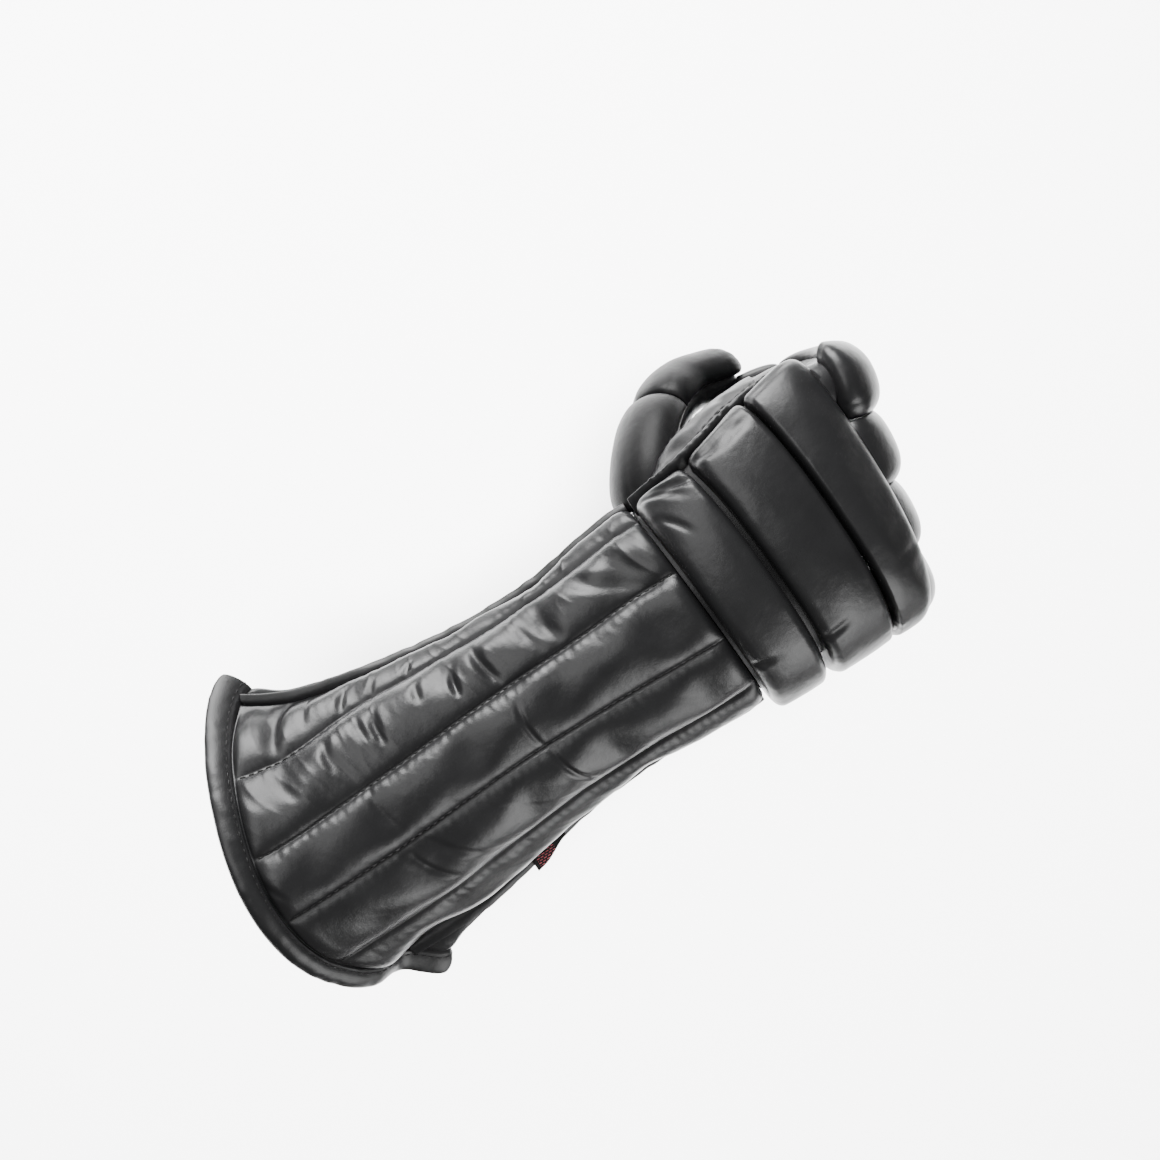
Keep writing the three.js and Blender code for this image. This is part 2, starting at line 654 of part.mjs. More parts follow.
// Pads on the fingers and the thumb
function limbPad(tube, row, namedLoft, halfTurn) {
  const [start, end] = [row.from * padReach(tube), row.to * padReach(tube)];
  const gap = seamGap / (end - start);
  const onTubeSides = [-54, -18, 18, 54].map((turn) => (turn / halfTurn + 1) / 2);
  return panel((along, across, out) => tube.point(along, 90 + halfTurn * (2 * across - 1), out), {
    columns: [0, ...onTubeSides, 1],
    rows: padRows.map((share) => clamp(share, gap, 1 - gap)),
    from: () => start,
    to: () => end,
    under: () => clearance,
    over: (share, across) => {
      const puff = pillow(share, 0.3) * pillow(across, 0.26);
      return clearance + mix(fingerPadEdge, namedLoft * row.loft, puff);
    },
  });
}

// A finger's pad is pressed flat where it meets the pads of the fingers beside it.
function pressedBetween(pad, i) {
  const halfway = (a, b) => (fingerTubes[a].middle + fingerTubes[b].middle) / 2;
  const [across, back] = [sideways.toArray(), sideways.clone().negate().toArray()];
  const low = i < fingers.length - 1 ? pad.trimByPlane(across, halfway(i, i + 1) + seamGap) : pad;
  return i > 0 ? low.trimByPlane(back, seamGap - halfway(i, i - 1)) : low;
}

const grownBackPads = [backPad(1, padSeamGap), backPad(2, padSeamGap)];
fingerTubes.forEach((tube, i) => {
  const others = grownFingers.filter((_, k) => k !== i);
  const cutters = [grownHand, grownThumb, ...others, ...grownBackPads];
  fingerPads.forEach((row) => {
    const pad = pressedBetween(limbPad(tube, row, fingerPadLoft, fingerPadTurn), i);
    addPiece(`${tube.name}_pad_${row.name}`, cutBy(pad, cutters), blackLeather);
  });
});
thumbPads.forEach((row) => {
  const pad = limbPad(thumbTube, row, thumbPadLoft, thumbPadTurn);
  addPiece(`thumb_pad_${row.name}`, cutBy(pad, [grownGusset, ...thumbCutters]), blackLeather);
});

export default root;
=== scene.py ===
import math

import bmesh
import bpy
import numpy as np
from bpy.props import FloatProperty, FloatVectorProperty, PointerProperty
from mathutils import Matrix, Vector


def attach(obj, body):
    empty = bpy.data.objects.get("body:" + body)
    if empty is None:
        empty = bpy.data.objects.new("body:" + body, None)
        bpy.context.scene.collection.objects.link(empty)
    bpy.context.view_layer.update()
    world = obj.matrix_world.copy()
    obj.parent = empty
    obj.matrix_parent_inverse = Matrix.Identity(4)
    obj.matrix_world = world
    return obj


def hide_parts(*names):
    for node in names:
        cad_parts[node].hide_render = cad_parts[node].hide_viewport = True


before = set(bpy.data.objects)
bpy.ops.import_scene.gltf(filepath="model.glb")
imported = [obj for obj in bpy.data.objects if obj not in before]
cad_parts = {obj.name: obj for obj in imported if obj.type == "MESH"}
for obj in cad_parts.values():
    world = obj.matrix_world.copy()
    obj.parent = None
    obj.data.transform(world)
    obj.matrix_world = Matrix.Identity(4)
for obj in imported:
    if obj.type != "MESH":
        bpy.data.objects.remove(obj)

bl_info = {
    "name": "Padded fencing glove",
    "blender": (4, 5, 0),
    "version": (1, 0, 0),
    "location": "View3D > Sidebar > Glove",
    "description": "Builds a padded leather fencing glove for the right hand, closed as in a fist",
    "category": "Add Mesh",
}

# +X runs from the gauntlet's mouth to the knuckles, +Y to the thumb and +Z out of the back of the hand. A turn
# of 0 degrees faces +Y, and 90 degrees faces +Z. Lengths are metres.
MM = 0.001
SEED = 7
# Metres across a panel of the gauntlet and across the back pads, along their curves, near the middle of each.
PANEL_SPAN = 0.141
PADS_SPAN = 0.17
# The turn at which the back pads end on the heel side, and the hand's open front as a share of the palm's
# length.
PADS_HEEL_TURN = 198
HAND_FRONT = 0.92
# Half the turn that the pads of a finger and of the thumb reach round them.
FINGER_PAD_TURN = 76
THUMB_PAD_TURN = 84
# Wavelengths in millimetres, along the gauntlet, of the folds that its sewing draws in.
FOLDS = dict(drift=34, broad=13, middling=7.5, pucker=4.2, streak=2.2, fine_pucker=2.1)
# The leather as a simulated cloth: its stiffness, and the steps and passes of smoothing after which it is
# read.
CLOTH_STIFFNESS = 12
CLOTH_STEPS = 18
CLOTH_SMOOTHING = 5


def table(columns, *rows):
    """A short table with named columns."""
    return {name: np.array([row[i] for row in rows], float) for i, name in enumerate(columns.split())}


# Gauntlet sections from the wrist to the hem: width, rise and drop are shares of the way from the wrist's size to
# the mouth's, sway a share of the sway, and lens how pointed the sides are.
GAUNTLET_SECTIONS = table(
    "along width rise drop sway lens",
    (0.0, 0.0, 0.0, 0.0, 0.2, 0.0),
    (0.1, -0.03, -0.06, -0.03, 0.4, 0.0),
    (0.3, -0.16, -0.02, 0.02, 0.8, 0.05),
    (0.5, -0.1, 0.14, 0.16, 1.1, 0.12),
    (0.7, 0.125, 0.42, 0.42, 1.35, 0.25),
    (0.85, 0.36, 0.7, 0.7, 1.2, 0.45),
    (0.93, 0.61, 0.86, 0.86, 0.9, 0.65),
    (1.0, 1.0, 1.0, 1.0, 0.3, 0.8),
)
# Turns in degrees of each panel's side seams and of the sewn lines between its channels.
BACK_LINES = table(
    "along thumb first second third fourth heel",
    (0.0, -3, 25, 65, 106, 142, 182),
    (0.4, -5, 21, 63, 101, 143, 182),
    (0.7, -1, 29, 69, 100, 137, 178),
    (0.85, 6, 41, 73, 99.5, 131, 169),
    (1.0, 15, 52, 78, 99.5, 123, 156),
)
PALM_LINES = table(
    "along first second third",
    (0.0, 225, 270, 315),
    (0.5, 222, 270, 318),
    (0.88, 182, 270, 358),
    (1.0, 180, 270, 360),
)
HEM_REACH = table(
    "turn reach",
    (0, 0.98), (25, 1.04), (55, 1.1), (90, 1.145), (120, 1.13), (150, 1.04), (180, 0.93), (225, 0.95),
    (270, 0.99), (315, 0.99), (360, 0.98),
)
# Hand sections by shares of the palm's length: thumb and heel are shares of the way from the wrist's half width
# to the side reaches, top and bottom of the way from the wrist's rise and drop to the knuckles'.
HAND_SECTIONS = table(
    "along thumb heel top bottom",
    (0.0, 0.0, 0.0, 0.0, 0.0),
    (0.15, 0.36, 0.3, -0.05, 0.04),
    (0.36, 0.82, 0.6, -0.1, 0.26),
    (0.6, 1.0, 1.0, 0.0, 0.72),
    (0.85, 1.02, 1.0, 0.25, 0.94),
    (1.0, 1.0, 0.8, 0.55, 1.0),
    (1.25, 0.9, 0.5, 1.3, 1.0),
)
# Where the seams between the back pads cross the thumb side, the crown and the heel side, the turn of the pads'
# edge, how many millimetres wide each seam gapes, and how much of a pad rolls down into it.
PAD_SEAMS = table(
    "thumb crown heel edge gape roll",
    (0.005, 0.01, 0.005, 16, 2.0, 0.2),
    (0.32, 0.42, 0.37, 33, 3.0, 0.18),
    (0.74, 0.87, 0.79, 27, 1.2, 0.11),
    (1.13, 1.2, 1.0, 16, 1.0, 0.42),
)
PAD_NAMES = ("wrist", "middle", "knuckle")
# Fingers: the middle of each as a share of the thumb side's reach, its width and its curl into the fist.
FINGERS = {
    "index": dict(side=0.8, wide=1.04, curl=118),
    "middle": dict(side=0.345, wide=1.06, curl=134),
    "ring": dict(side=-0.105, wide=1.04, curl=136),
    "little": dict(side=-0.53, wide=0.96, curl=124),
}
FINGER_PADS = {
    "knuckle": dict(start=0.18, end=0.48, loft=1.0),
    "middle": dict(start=0.48, end=0.75, loft=0.9),
    "tip": dict(start=0.75, end=1.0, loft=0.75),
}
THUMB_PADS = {
    "base": dict(start=0.1, end=0.56, loft=1.0),
    "tip": dict(start=0.56, end=1.0, loft=1.0),
}
# Middle line of the thumb, as shares of its reach.
THUMB_LINE = table(
    "at forward side up",
    (0.0, -0.02, 0.4, -0.1),
    (0.358, 0.16, 0.7, -0.18),
    (0.694, 0.36, 0.88, -0.38),
    (1.038, 0.6, 0.94, -0.62),
    (1.266, 0.8, 0.9, -0.72),
)
# Creases pressed across the gauntlet's back: places on the panel, slant in degrees, and millimetres.
GAUNTLET_CREASES = table(
    "along across slant length width depth",
    (0.888, 0.107, 7, 25, 3.2, 2.4),
    (0.907, 0.069, -11, 12, 2.0, 0.9),
    (0.829, 0.110, -3, 15, 2.0, 0.7),
    (0.750, 0.158, 10, 13, 2.0, 1.0),
    (0.686, 0.197, 5, 13, 1.8, 0.8),
    (0.601, 0.171, 28, 7, 1.6, 0.7),
    (0.959, 0.053, 1, 14, 3.2, 1.6),
    (0.767, 0.317, -28, 22, 1.8, 1.0),
    (0.781, 0.303, -21, 9, 1.6, 0.8),
    (0.673, 0.306, -15, 12, 2.2, 1.5),
    (0.706, 0.290, -31, 10, 2.0, 0.9),
    (0.579, 0.286, -14, 7, 2.2, 1.0),
    (0.499, 0.313, -4, 9, 2.0, 0.9),
    (0.941, 0.262, -35, 12, 2.2, 0.6),
    (0.866, 0.300, -36, 14, 2.4, 0.6),
    (0.713, 0.483, -18, 20, 1.6, 0.4),
    (0.701, 0.667, -20, 19, 1.6, 0.7),
    (0.646, 0.665, -35, 23, 1.8, 0.5),
    (0.961, 0.473, -28, 17, 1.6, 0.8),
    (0.086, 0.315, -48, 23, 4.5, 1.8),
    (0.133, 0.332, -57, 38, 3.6, 1.7),
    (0.277, 0.341, -31, 14, 3.4, 1.8),
    (0.431, 0.326, -23, 18, 2.4, 2.0),
    (0.498, 0.326, -10, 8, 1.8, 0.9),
    (0.401, 0.534, -4, 21, 1.3, 0.7),
    (0.384, 0.674, -9, 21, 1.3, 0.7),
    (0.323, 0.337, -31, 17, 2.6, 0.9),
)
PAD_CREASES = {
    "wrist": table(
        "along across slant length width depth",
        (0.10, 0.06, 62, 22, 2.4, 2.2),
        (0.17, 0.05, 70, 18, 2.0, 1.6),
        (0.24, 0.07, 78, 18, 2.2, 1.6),
        (0.12, 0.17, 40, 14, 2.2, 0.9),
    ),
    "middle": table(
        "along across slant length width depth",
        (0.42, 0.05, 70, 20, 2.6, 1.7),
        (0.54, 0.05, 76, 18, 2.4, 1.3),
        (0.62, 0.08, 84, 16, 2.6, 1.0),
    ),
    "knuckle": table(
        "along across slant length width depth",
        (0.84, 0.04, 80, 15, 2.8, 0.9),
        (1.02, 0.05, 95, 14, 2.8, 0.7),
    ),
}
# Places round the hem band's section: its way out from the lining or the quilt, and along, from inside to
# outside.
BAND_PROFILE = table(
    "along out",
    (0.1, -1.6), (0.5, -2.3), (0.95, -2.2), (1.14, -1.2), (1.2, 1.2), (1.15, 3.7), (0.97, 5.5), (0.68, 6.3),
    (0.38, 5.7), (0.17, 4.2), (0.08, 3.2),
)


def length(label, millimetres, note):
    """A size that the sidebar shows."""
    return FloatProperty(name=label, description=note, default=millimetres * MM, unit="LENGTH", precision=4)


def colour(label, hexcode, note):
    """A colour that the sidebar shows, from an sRGB hex code."""
    return FloatVectorProperty(name=label, description=note, default=linear(hexcode), subtype="COLOR", size=3,
                               min=0, max=1)


def linear(hexcode):
    """The linear values of an sRGB hex code."""
    values = [int(hexcode[i:i + 2], 16) / 255 for i in (0, 2, 4)]
    return tuple(v / 12.92 if v <= 0.04045 else ((v + 0.055) / 1.055) ** 2.4 for v in values)


class GloveSizes(bpy.types.PropertyGroup):
    """The driving sizes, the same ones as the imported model's."""
    seam_gap: length("Seam gap", 0.3, "Clearance between neighbouring pieces")
    leather: length("Leather", 1.6, "Thickness of the hand's leather")
    gauntlet_length: length("Gauntlet length", 203, "From the wrist to the hem at the side seams")
    wrist_width: length("Wrist width", 97, "Across the lining at the wrist")
    wrist_rise: length("Wrist rise", 29, "From the middle of the wrist up to the lining")
    wrist_drop: length("Wrist drop", 32, "From the middle of the wrist down to the lining")
    wrist_slant: length("Wrist slant", 4.4, "How far the wrist seam leans to the thumb side")
    mouth_width: length("Mouth width", 158, "Across the lining at the hem")
    mouth_rise: length("Mouth rise", 50, "From the middle up to the lining at the hem")
    mouth_drop: length("Mouth drop", 44, "From the middle down to the lining at the hem")
    sway: length("Sway", 5, "How far the gauntlet's middle leans to the heel side")
    quilt_wall: length("Quilt wall", 2.6, "Thickness of the gauntlet at a seam")
    quilt_loft: length("Quilt loft", 5.2, "How far a channel puffs out over its seams")
    pleat_depth: length("Pleat depth", 8, "Depth of the pleat before the heel-side ear")
    band_width: length("Band width", 8, "Width of the hem band")
    band_flare: length("Band flare", 3.5, "How far the band stands out at the ears")
    strip_height: length("Strip height", 6, "Height of the side seams' strips")
    strip_thickness: length("Strip thickness", 2.4, "Thickness of the side seams' strips")
    palm_length: length("Palm length", 82, "From the wrist to the knuckles")
    thumb_side: length("Thumb side", 71, "From the middle to the lining on the thumb side")
    heel_side: length("Heel side", 49, "From the middle to the lining on the heel side")
    knuckle_rise: length("Knuckle rise", 17, "From the middle up to the lining at the knuckles")
    knuckle_drop: length("Knuckle drop", 8, "From the middle down to the lining at the knuckles")
    pad_loft: length("Back pad loft", 12, "Height of the back pads")
    pad_edge: length("Back pad edge", 5.5, "Height of the back pads at their seams")
    piping_radius: length("Piping radius", 2.1, "Half thickness of the ridge beside the pads")
    grip_radius: length("Grip radius", 15, "Radius of the hollow that the fingers close round")
    grip_forward: length("Grip forward", 68.3, "From the wrist to the fist's hollow")
    grip_below: length("Grip below", 27, "From the middle of the wrist down to the fist's hollow")
    finger_width: length("Finger width", 20.5, "Across a finger's lining")
    finger_thickness: length("Finger thickness", 17, "From front to back of a finger's lining")
    finger_loft: length("Finger pad loft", 7.5, "Height of the finger pads")
    finger_edge: length("Finger pad edge", 1.6, "Height of the finger pads at their seams")
    knuckle_bend: length("Knuckle bend", 15, "Radius of the bend over the knuckles")
    knuckle_lift: length("Knuckle lift", 35, "From the hollow's axis up to the fingers' roots")
    finger_root: length("Finger root", 21, "Stretch of each finger inside the hand")
    thumb_width: length("Thumb width", 24, "Across the thumb's lining")
    thumb_thickness: length("Thumb thickness", 19, "From front to back of the thumb's lining")
    thumb_loft: length("Thumb pad loft", 6.5, "Height of the thumb's pads")
    thumb_reach: length("Thumb reach", 84, "Size of the thumb's middle line")
    tag_length: length("Tag length", 20, "Length of the side tag")
    tag_height: length("Tag height", 9, "How far the side tag stands out")
    stitch_pitch: length("Stitch pitch", 3.9, "From one stitch to the next")
    stitch_width: length("Stitch width", 0.55, "Thickness of the sewing thread")
    grain_size: length("Grain size", 0.75, "Size of the leather's pores")
    knuckle_slant: FloatProperty(name="Knuckle slant", description="Lean of the row of knuckles", default=0.24)
    tag_along: FloatProperty(name="Tag place", description="Place of the tag along the seam", default=0.62)


class GloveLooks(bpy.types.PropertyGroup):
    """Colours and finishes, from the photograph."""
    leather_colour: colour("Leather", "1b1b1c", "Dyed black nappa of the pads and the gauntlet")
    leather_worn: colour("Worn leather", "2a2a2b", "The dye rubbed thin on ridges and creases")
    # Painted shade: a darker copy of the pads' leather for the thumb's pads, so that they look shaded.
    painted_shade_thumb_colour: colour("Thumb leather", "0f0f10", "The thumb's leather, duller than the rest")
    palm_colour: colour("Palm leather", "1e1e1f", "Softer leather of the stalls, the palm and the gusset")
    band_colour: colour("Band leather", "19191a", "Binding, strips and piping")
    lining_colour: colour("Lining", "101011", "Inside of the leather")
    thread_colour: colour("Thread", "0a0a0a", "Waxed black sewing thread")
    tag_ground: colour("Tag ground", "191516", "Woven ground of the tag")
    tag_mark: colour("Tag marks", "e8727c", "Raised red weft of the tag's plain pattern")
    floor_colour: colour("Floor", "f4f4f4", "Matt paper sweep")
    gloss: FloatProperty(name="Leather roughness", description="Roughness of the dyed leather", default=0.37)


def sizes():
    return bpy.context.scene.glove_sizes


def looks():
    return bpy.context.scene.glove_looks


def spread(rows, columns):
    """Two runs of values spread over a grid, the first one down it and the second one across."""
    return np.meshgrid(rows, columns, indexing="ij")


def mix(a, b, t):
    return a + (b - a) * t


def smoothstep(x, low, high):
    t = np.clip((x - low) / (high - low), 0, 1)
    return t * t * (3 - 2 * t)


def read(rows, place, at, column):
    """The value of a column at places in a table, on a smooth curve through its rows."""
    x, y = rows[place], rows[column]
    last = len(x) - 1
    order = np.arange(last + 1)
    before, after = np.maximum(order - 1, 0), np.minimum(order + 1, last)
    slope = (y[after] - y[before]) / (x[after] - x[before])
    i = np.clip(np.searchsorted(x, at, side="left") - 1, 0, last - 1)
    step = x[i + 1] - x[i]
    t = np.clip((at - x[i]) / step, 0, 1)
    ease = t * t * (3 - 2 * t)
    bend = t * (1 - t) ** 2 * step * slope[i] - t * t * (1 - t) * step * slope[i + 1]
    return mix(y[i], y[i + 1], ease) + bend


def pillow(share, edge, power=2.0):
    """Rises as a quarter round from 0 at both ends to 1, within edge of each end."""
    near = np.clip(np.minimum(share, 1 - share) / edge, 0, 1)
    return np.maximum(1 - (1 - near) ** power, 0) ** 0.5


def noise(u, v, seed=0):
    """Smooth noise from -1 to 1, about one bump for each unit of u and v."""
    lattice = np.random.default_rng(SEED + seed).uniform(-1, 1, (64, 64))
    iu, iv = np.floor(u).astype(int), np.floor(v).astype(int)
    fu, fv = u - iu, v - iv
    fu, fv = fu * fu * (3 - 2 * fu), fv * fv * (3 - 2 * fv)
    corner = lambda a, b: lattice[(iu + a) % 64, (iv + b) % 64]
    return mix(mix(corner(0, 0), corner(1, 0), fu), mix(corner(0, 1), corner(1, 1), fu), fv)


def creases(rows, along, across, unit_along, unit_across):
    """Depth of the creases of a table, with a soft lip raised along each side."""
    total = np.zeros(np.broadcast(along, across).shape)
    for i in range(len(rows["along"])):
        forward = (along - rows["along"][i]) * unit_along
        sideways = (across - rows["across"][i]) * unit_across
        lean = math.radians(rows["slant"][i])
        bow = 0.012 * sideways ** 2 / MM
        off_line = (forward * math.cos(lean) - sideways * math.sin(lean) + bow) / (rows["width"][i] * MM)
        on_line = 2 * (forward * math.sin(lean) + sideways * math.cos(lean)) / (rows["length"][i] * MM)
        reach = np.exp(-np.clip(np.abs(on_line), 0, 4) ** 3)
        total += rows["depth"][i] * MM * (1 - 0.55 * off_line ** 2) * np.exp(-off_line ** 2 / 1.6) * reach
    return total


def gauntlet_point(along, turn, out):
    """Points of the gauntlet: along is 0 at the wrist and 1 at the hem, and out is measured from the lining."""
    s = sizes()
    value = lambda column: read(GAUNTLET_SECTIONS, "along", along, column)
    angle = np.radians(turn)
    half = mix(s.wrist_width, s.mouth_width, value("width")) / 2 + out
    rise = mix(s.wrist_rise, s.mouth_rise, value("rise")) + out
    drop = mix(s.wrist_drop, s.mouth_drop, value("drop")) + out
    steep = np.abs(np.sin(angle))
    reach = s.gauntlet_length * read(HEM_REACH, "turn", np.mod(turn, 360), "reach")
    slant = s.wrist_slant * np.cos(angle) * (1 - np.clip(along, 0, 1)) ** 2
    pleat = s.pleat_depth * smoothstep(along, 0.72, 1) * np.exp(-(((turn - 158) / 11) ** 2))
    x = -s.seam_gap / 2 - along * reach - slant
    y = (half - pleat) * np.cos(angle) - s.sway * value("sway")
    z = np.where(np.sin(angle) >= 0, rise, -drop) * steep * mix(1, steep, value("lens")) - pleat * np.sin(angle)
    return np.stack(np.broadcast_arrays(x, y, z), -1)


def hand_point(along, turn, out):
    """Points of the hand: along is 0 at the wrist and 1 at the knuckles, and out is measured from the lining."""
    s = sizes()
    value = lambda column: read(HAND_SECTIONS, "along", along, column)
    angle = np.radians(turn)
    across, up = np.cos(angle), np.sin(angle)
    thumb_side = mix(s.wrist_width / 2, s.thumb_side, value("thumb")) + out
    heel_side = mix(s.wrist_width / 2, s.heel_side, value("heel")) + out
    top = mix(s.wrist_rise, s.knuckle_rise, value("top")) + out
    bottom = mix(s.wrist_drop, s.knuckle_drop, value("bottom")) + out
    rest = 1 - np.clip(along, 0, 1)
    x = s.seam_gap / 2 + along * s.palm_length - s.wrist_slant * across * rest ** 2
    y = across * np.where(across >= 0, thumb_side, heel_side) - s.sway * 0.2 * rest
    power = mix(1, 0.85, np.clip(2 * along, 0, 1))
    z = np.sign(up) * np.abs(up) ** power * np.where(up >= 0, top, bottom)
    return np.stack(np.broadcast_arrays(x, y, z), -1)


class Tube:
    """A tube along a polyline, with a round tip. Along is in metres, and 90 degrees faces outward."""

    def __init__(self, line, outward, width, thickness, taper):
        steps = np.linalg.norm(np.diff(line, axis=0), axis=1)
        self.at = np.concatenate([[0], np.cumsum(steps)])
        self.line, self.outward = line, outward
        self.width, self.thickness, self.taper = width, thickness, taper
        self.length, self.tip = self.at[-1], thickness / 2
        self.reach = self.length + 0.9 * self.tip

    def _axis(self, rows, along):
        return np.stack([np.interp(along, self.at, rows[:, k]) for k in range(3)], -1)

    def frames(self, along):
        """Centres and the tangent, side and outward directions at places along the tube."""
        inside = np.clip(along, 0, self.length)
        step = 0.6 * MM
        tangent = self._axis(self.line, np.minimum(inside + step, self.length))
        tangent = unit(tangent - self._axis(self.line, np.maximum(inside - step, 0)))
        up = self._axis(self.outward, inside)
        up = unit(up - tangent * np.sum(up * tangent, -1, keepdims=True))
        return self._axis(self.line, inside), tangent, np.cross(up, tangent), up

    def point(self, along, turn, out):
        along, turn, out = np.broadcast_arrays(along, turn, out)
        centre, tangent, side, up = self.frames(along)
        size = 1 - self.taper * np.clip(along / self.length, 0, 1) ** 3
        past = np.clip((along - self.length) / self.tip, 0, 0.97) * math.pi / 2
        angle = np.radians(turn)
        ahead = (self.tip * size + out) * np.sin(past)
        sideways = (self.width / 2 * size + out) * np.cos(past) * np.cos(angle)
        outward = (self.tip * size + out) * np.cos(past) * np.sin(angle)
        return centre + tangent * ahead[..., None] + side * sideways[..., None] + up * outward[..., None]

    def clear(self, points, out):
        """Points moved out of the tube, so that they lie at least out from its lining."""
        samples = np.linspace(0.15 * self.length, self.length, 60)
        centre, tangent, side, up = self.frames(samples)
        flat = points.reshape(-1, 3).copy()
        size = 1 - self.taper * (samples / self.length) ** 3
        low, high = centre.min(0) - self.width, centre.max(0) + self.width
        near = np.where(np.all((flat > low) & (flat < high), 1))[0]
        if len(near):
            gaps = flat[near][:, None, :] - centre[None]
            nearest = np.argmin(np.sum(gaps ** 2, -1), 1)
            gap = gaps[np.arange(len(near)), nearest]
            t, b, u, k = tangent[nearest], side[nearest], up[nearest], size[nearest]
            half_wide, half_thick = self.width / 2 * k + out, self.thickness / 2 * k + out
            parts = np.stack([np.sum(gap * b, 1) / half_wide, np.sum(gap * u, 1) / half_thick,
                              np.sum(gap * t, 1) / half_thick], 1)
            inside = np.linalg.norm(parts, axis=1)
            push = np.where(inside < 1, 1 / np.maximum(inside, 0.2), 1)[:, None]
            flat[near] = centre[nearest] + gap * push
        return flat.reshape(points.shape)


def unit(vectors):
    return vectors / np.maximum(np.linalg.norm(vectors, axis=-1, keepdims=True), 1e-12)


def finger_tube(name):
    """A finger: forward out of the hand, down over its knuckle and back into the fist."""
    s = sizes()
    finger = FINGERS[name]
    wrap = s.grip_radius + s.seam_gap + s.leather + s.finger_thickness / 2
    y = finger["side"] * s.thumb_side
    centre = np.array([s.grip_forward + s.knuckle_slant * y, y, -s.grip_below])
    forward = unit(np.array([1, -s.knuckle_slant, 0]))
    over = np.radians(np.linspace(90, 0, 40))
    down = np.linspace(1, 0, 30)[1:]
    round_grip = np.radians(np.linspace(0, -finger["curl"], 90))[1:]
    start = wrap - s.knuckle_bend
    ahead = np.concatenate([
        np.linspace(start - s.finger_root, start, 30)[:-1], start + s.knuckle_bend * np.cos(over),
        np.full(len(down), wrap), wrap * np.cos(round_grip)])
    drop = s.knuckle_lift - s.knuckle_bend
    above = np.concatenate([
        np.full(29, s.knuckle_lift), drop + s.knuckle_bend * np.sin(over), drop * down, wrap * np.sin(round_grip)])
    line = centre + ahead[:, None] * forward + above[:, None] * np.array([0, 0, 1])
    outward = line - centre
    outward[:, 1] = 0
    outward[:34] = (0, 0, 1)
    blend = np.linspace(0, 1, 24)[:, None]
    outward[34:58] = mix(outward[34:58] * 0 + (0, 0, 1), unit(outward[34:58]), blend)
    return Tube(line, unit(outward), s.finger_width * finger["wide"], s.finger_thickness, 0.12)


def thumb_tube():
    """The thumb: from the side of the hand forward and down past the fist."""
    s = sizes()
    at = np.linspace(0, THUMB_LINE["at"][-1], 160)
    line = np.stack([read(THUMB_LINE, "at", at, c) for c in ("forward", "side", "up")], -1) * s.thumb_reach
    share = (at / at[-1])[:, None]
    outward = mix(np.array([-0.35, 0.85, 0.35]), np.array([0.15, 0.85, 0.1]), share)
    return Tube(line, unit(outward), s.thumb_width, s.thumb_thickness, 0.16)


def grid_mesh(name, grids):
    """One object from grids of points. A grid is (points, loops across, flipped)."""
    verts, faces, start = [], [], 0
    for points, loop, flipped in grids:
        rows, columns = points.shape[:2]
        ids = start + np.arange(rows * columns).reshape(rows, columns)
        if loop:
            ids = np.concatenate([ids, ids[:, :1]], 1)
        quads = np.stack([ids[:-1, :-1], ids[:-1, 1:], ids[1:, 1:], ids[1:, :-1]], -1).reshape(-1, 4)
        faces.append(quads[:, ::-1] if flipped else quads)
        verts.append(points.reshape(-1, 3))
        start += rows * columns
    mesh = bpy.data.meshes.new(name)
    verts, faces = np.concatenate(verts), np.concatenate(faces)
    mesh.vertices.add(len(verts))
    mesh.vertices.foreach_set("co", verts.ravel())
    mesh.loops.add(faces.size)
    mesh.loops.foreach_set("vertex_index", faces.ravel().astype(np.int32))
    mesh.polygons.add(len(faces))
    mesh.polygons.foreach_set("loop_start", np.arange(0, faces.size, 4, dtype=np.int32))
    mesh.polygons.foreach_set("use_smooth", np.ones(len(faces), dtype=bool))
    mesh.update(calc_edges=True)
    mesh.validate()
    piece = bpy.data.objects.new(name, mesh)
    bpy.context.scene.collection.objects.link(piece)
    return piece


def faces_out(points, outside):
    """Whether a grid's faces, in grid_mesh's order, point the way that outside lies from points."""
    r, c = points.shape[0] // 2, points.shape[1] // 2
    normal = np.cross(points[r, c + 1] - points[r, c], points[r + 1, c] - points[r, c])
    return np.dot(normal, outside[r, c] - points[r, c]) > 0


def skirted(point, along, across, height, foot):
    """A sheet at height with a border turned down to foot, and whether its faces must be flipped."""
    border = np.pad(np.ones_like(height), 1)
    along, across = np.pad(along, 1, mode="edge"), np.pad(across, 1, mode="edge")
    heights = np.where(border > 0, np.pad(height, 1), foot)
    points = point(along, across, heights)
    return points, not faces_out(points, point(along, across, heights + MM))


def finish_piece(piece, material, slot, *nodes):
    """Gives a piece its material, hangs it on the root body and hides the imported parts that it stands for."""
    piece.data.materials.append(material)
    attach(piece, "root")
    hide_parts(*nodes)
    return piece


def relief(piece, values):
    """Stores how high each point stands in its relief, from 0 in a seam to 1 on a crown."""
    spare = len(piece.data.vertices) - values.size
    layer = piece.data.attributes.new("relief", "FLOAT", "POINT")
    layer.data.foreach_set("value", np.concatenate([values.ravel(), np.full(spare, 0.5)]))


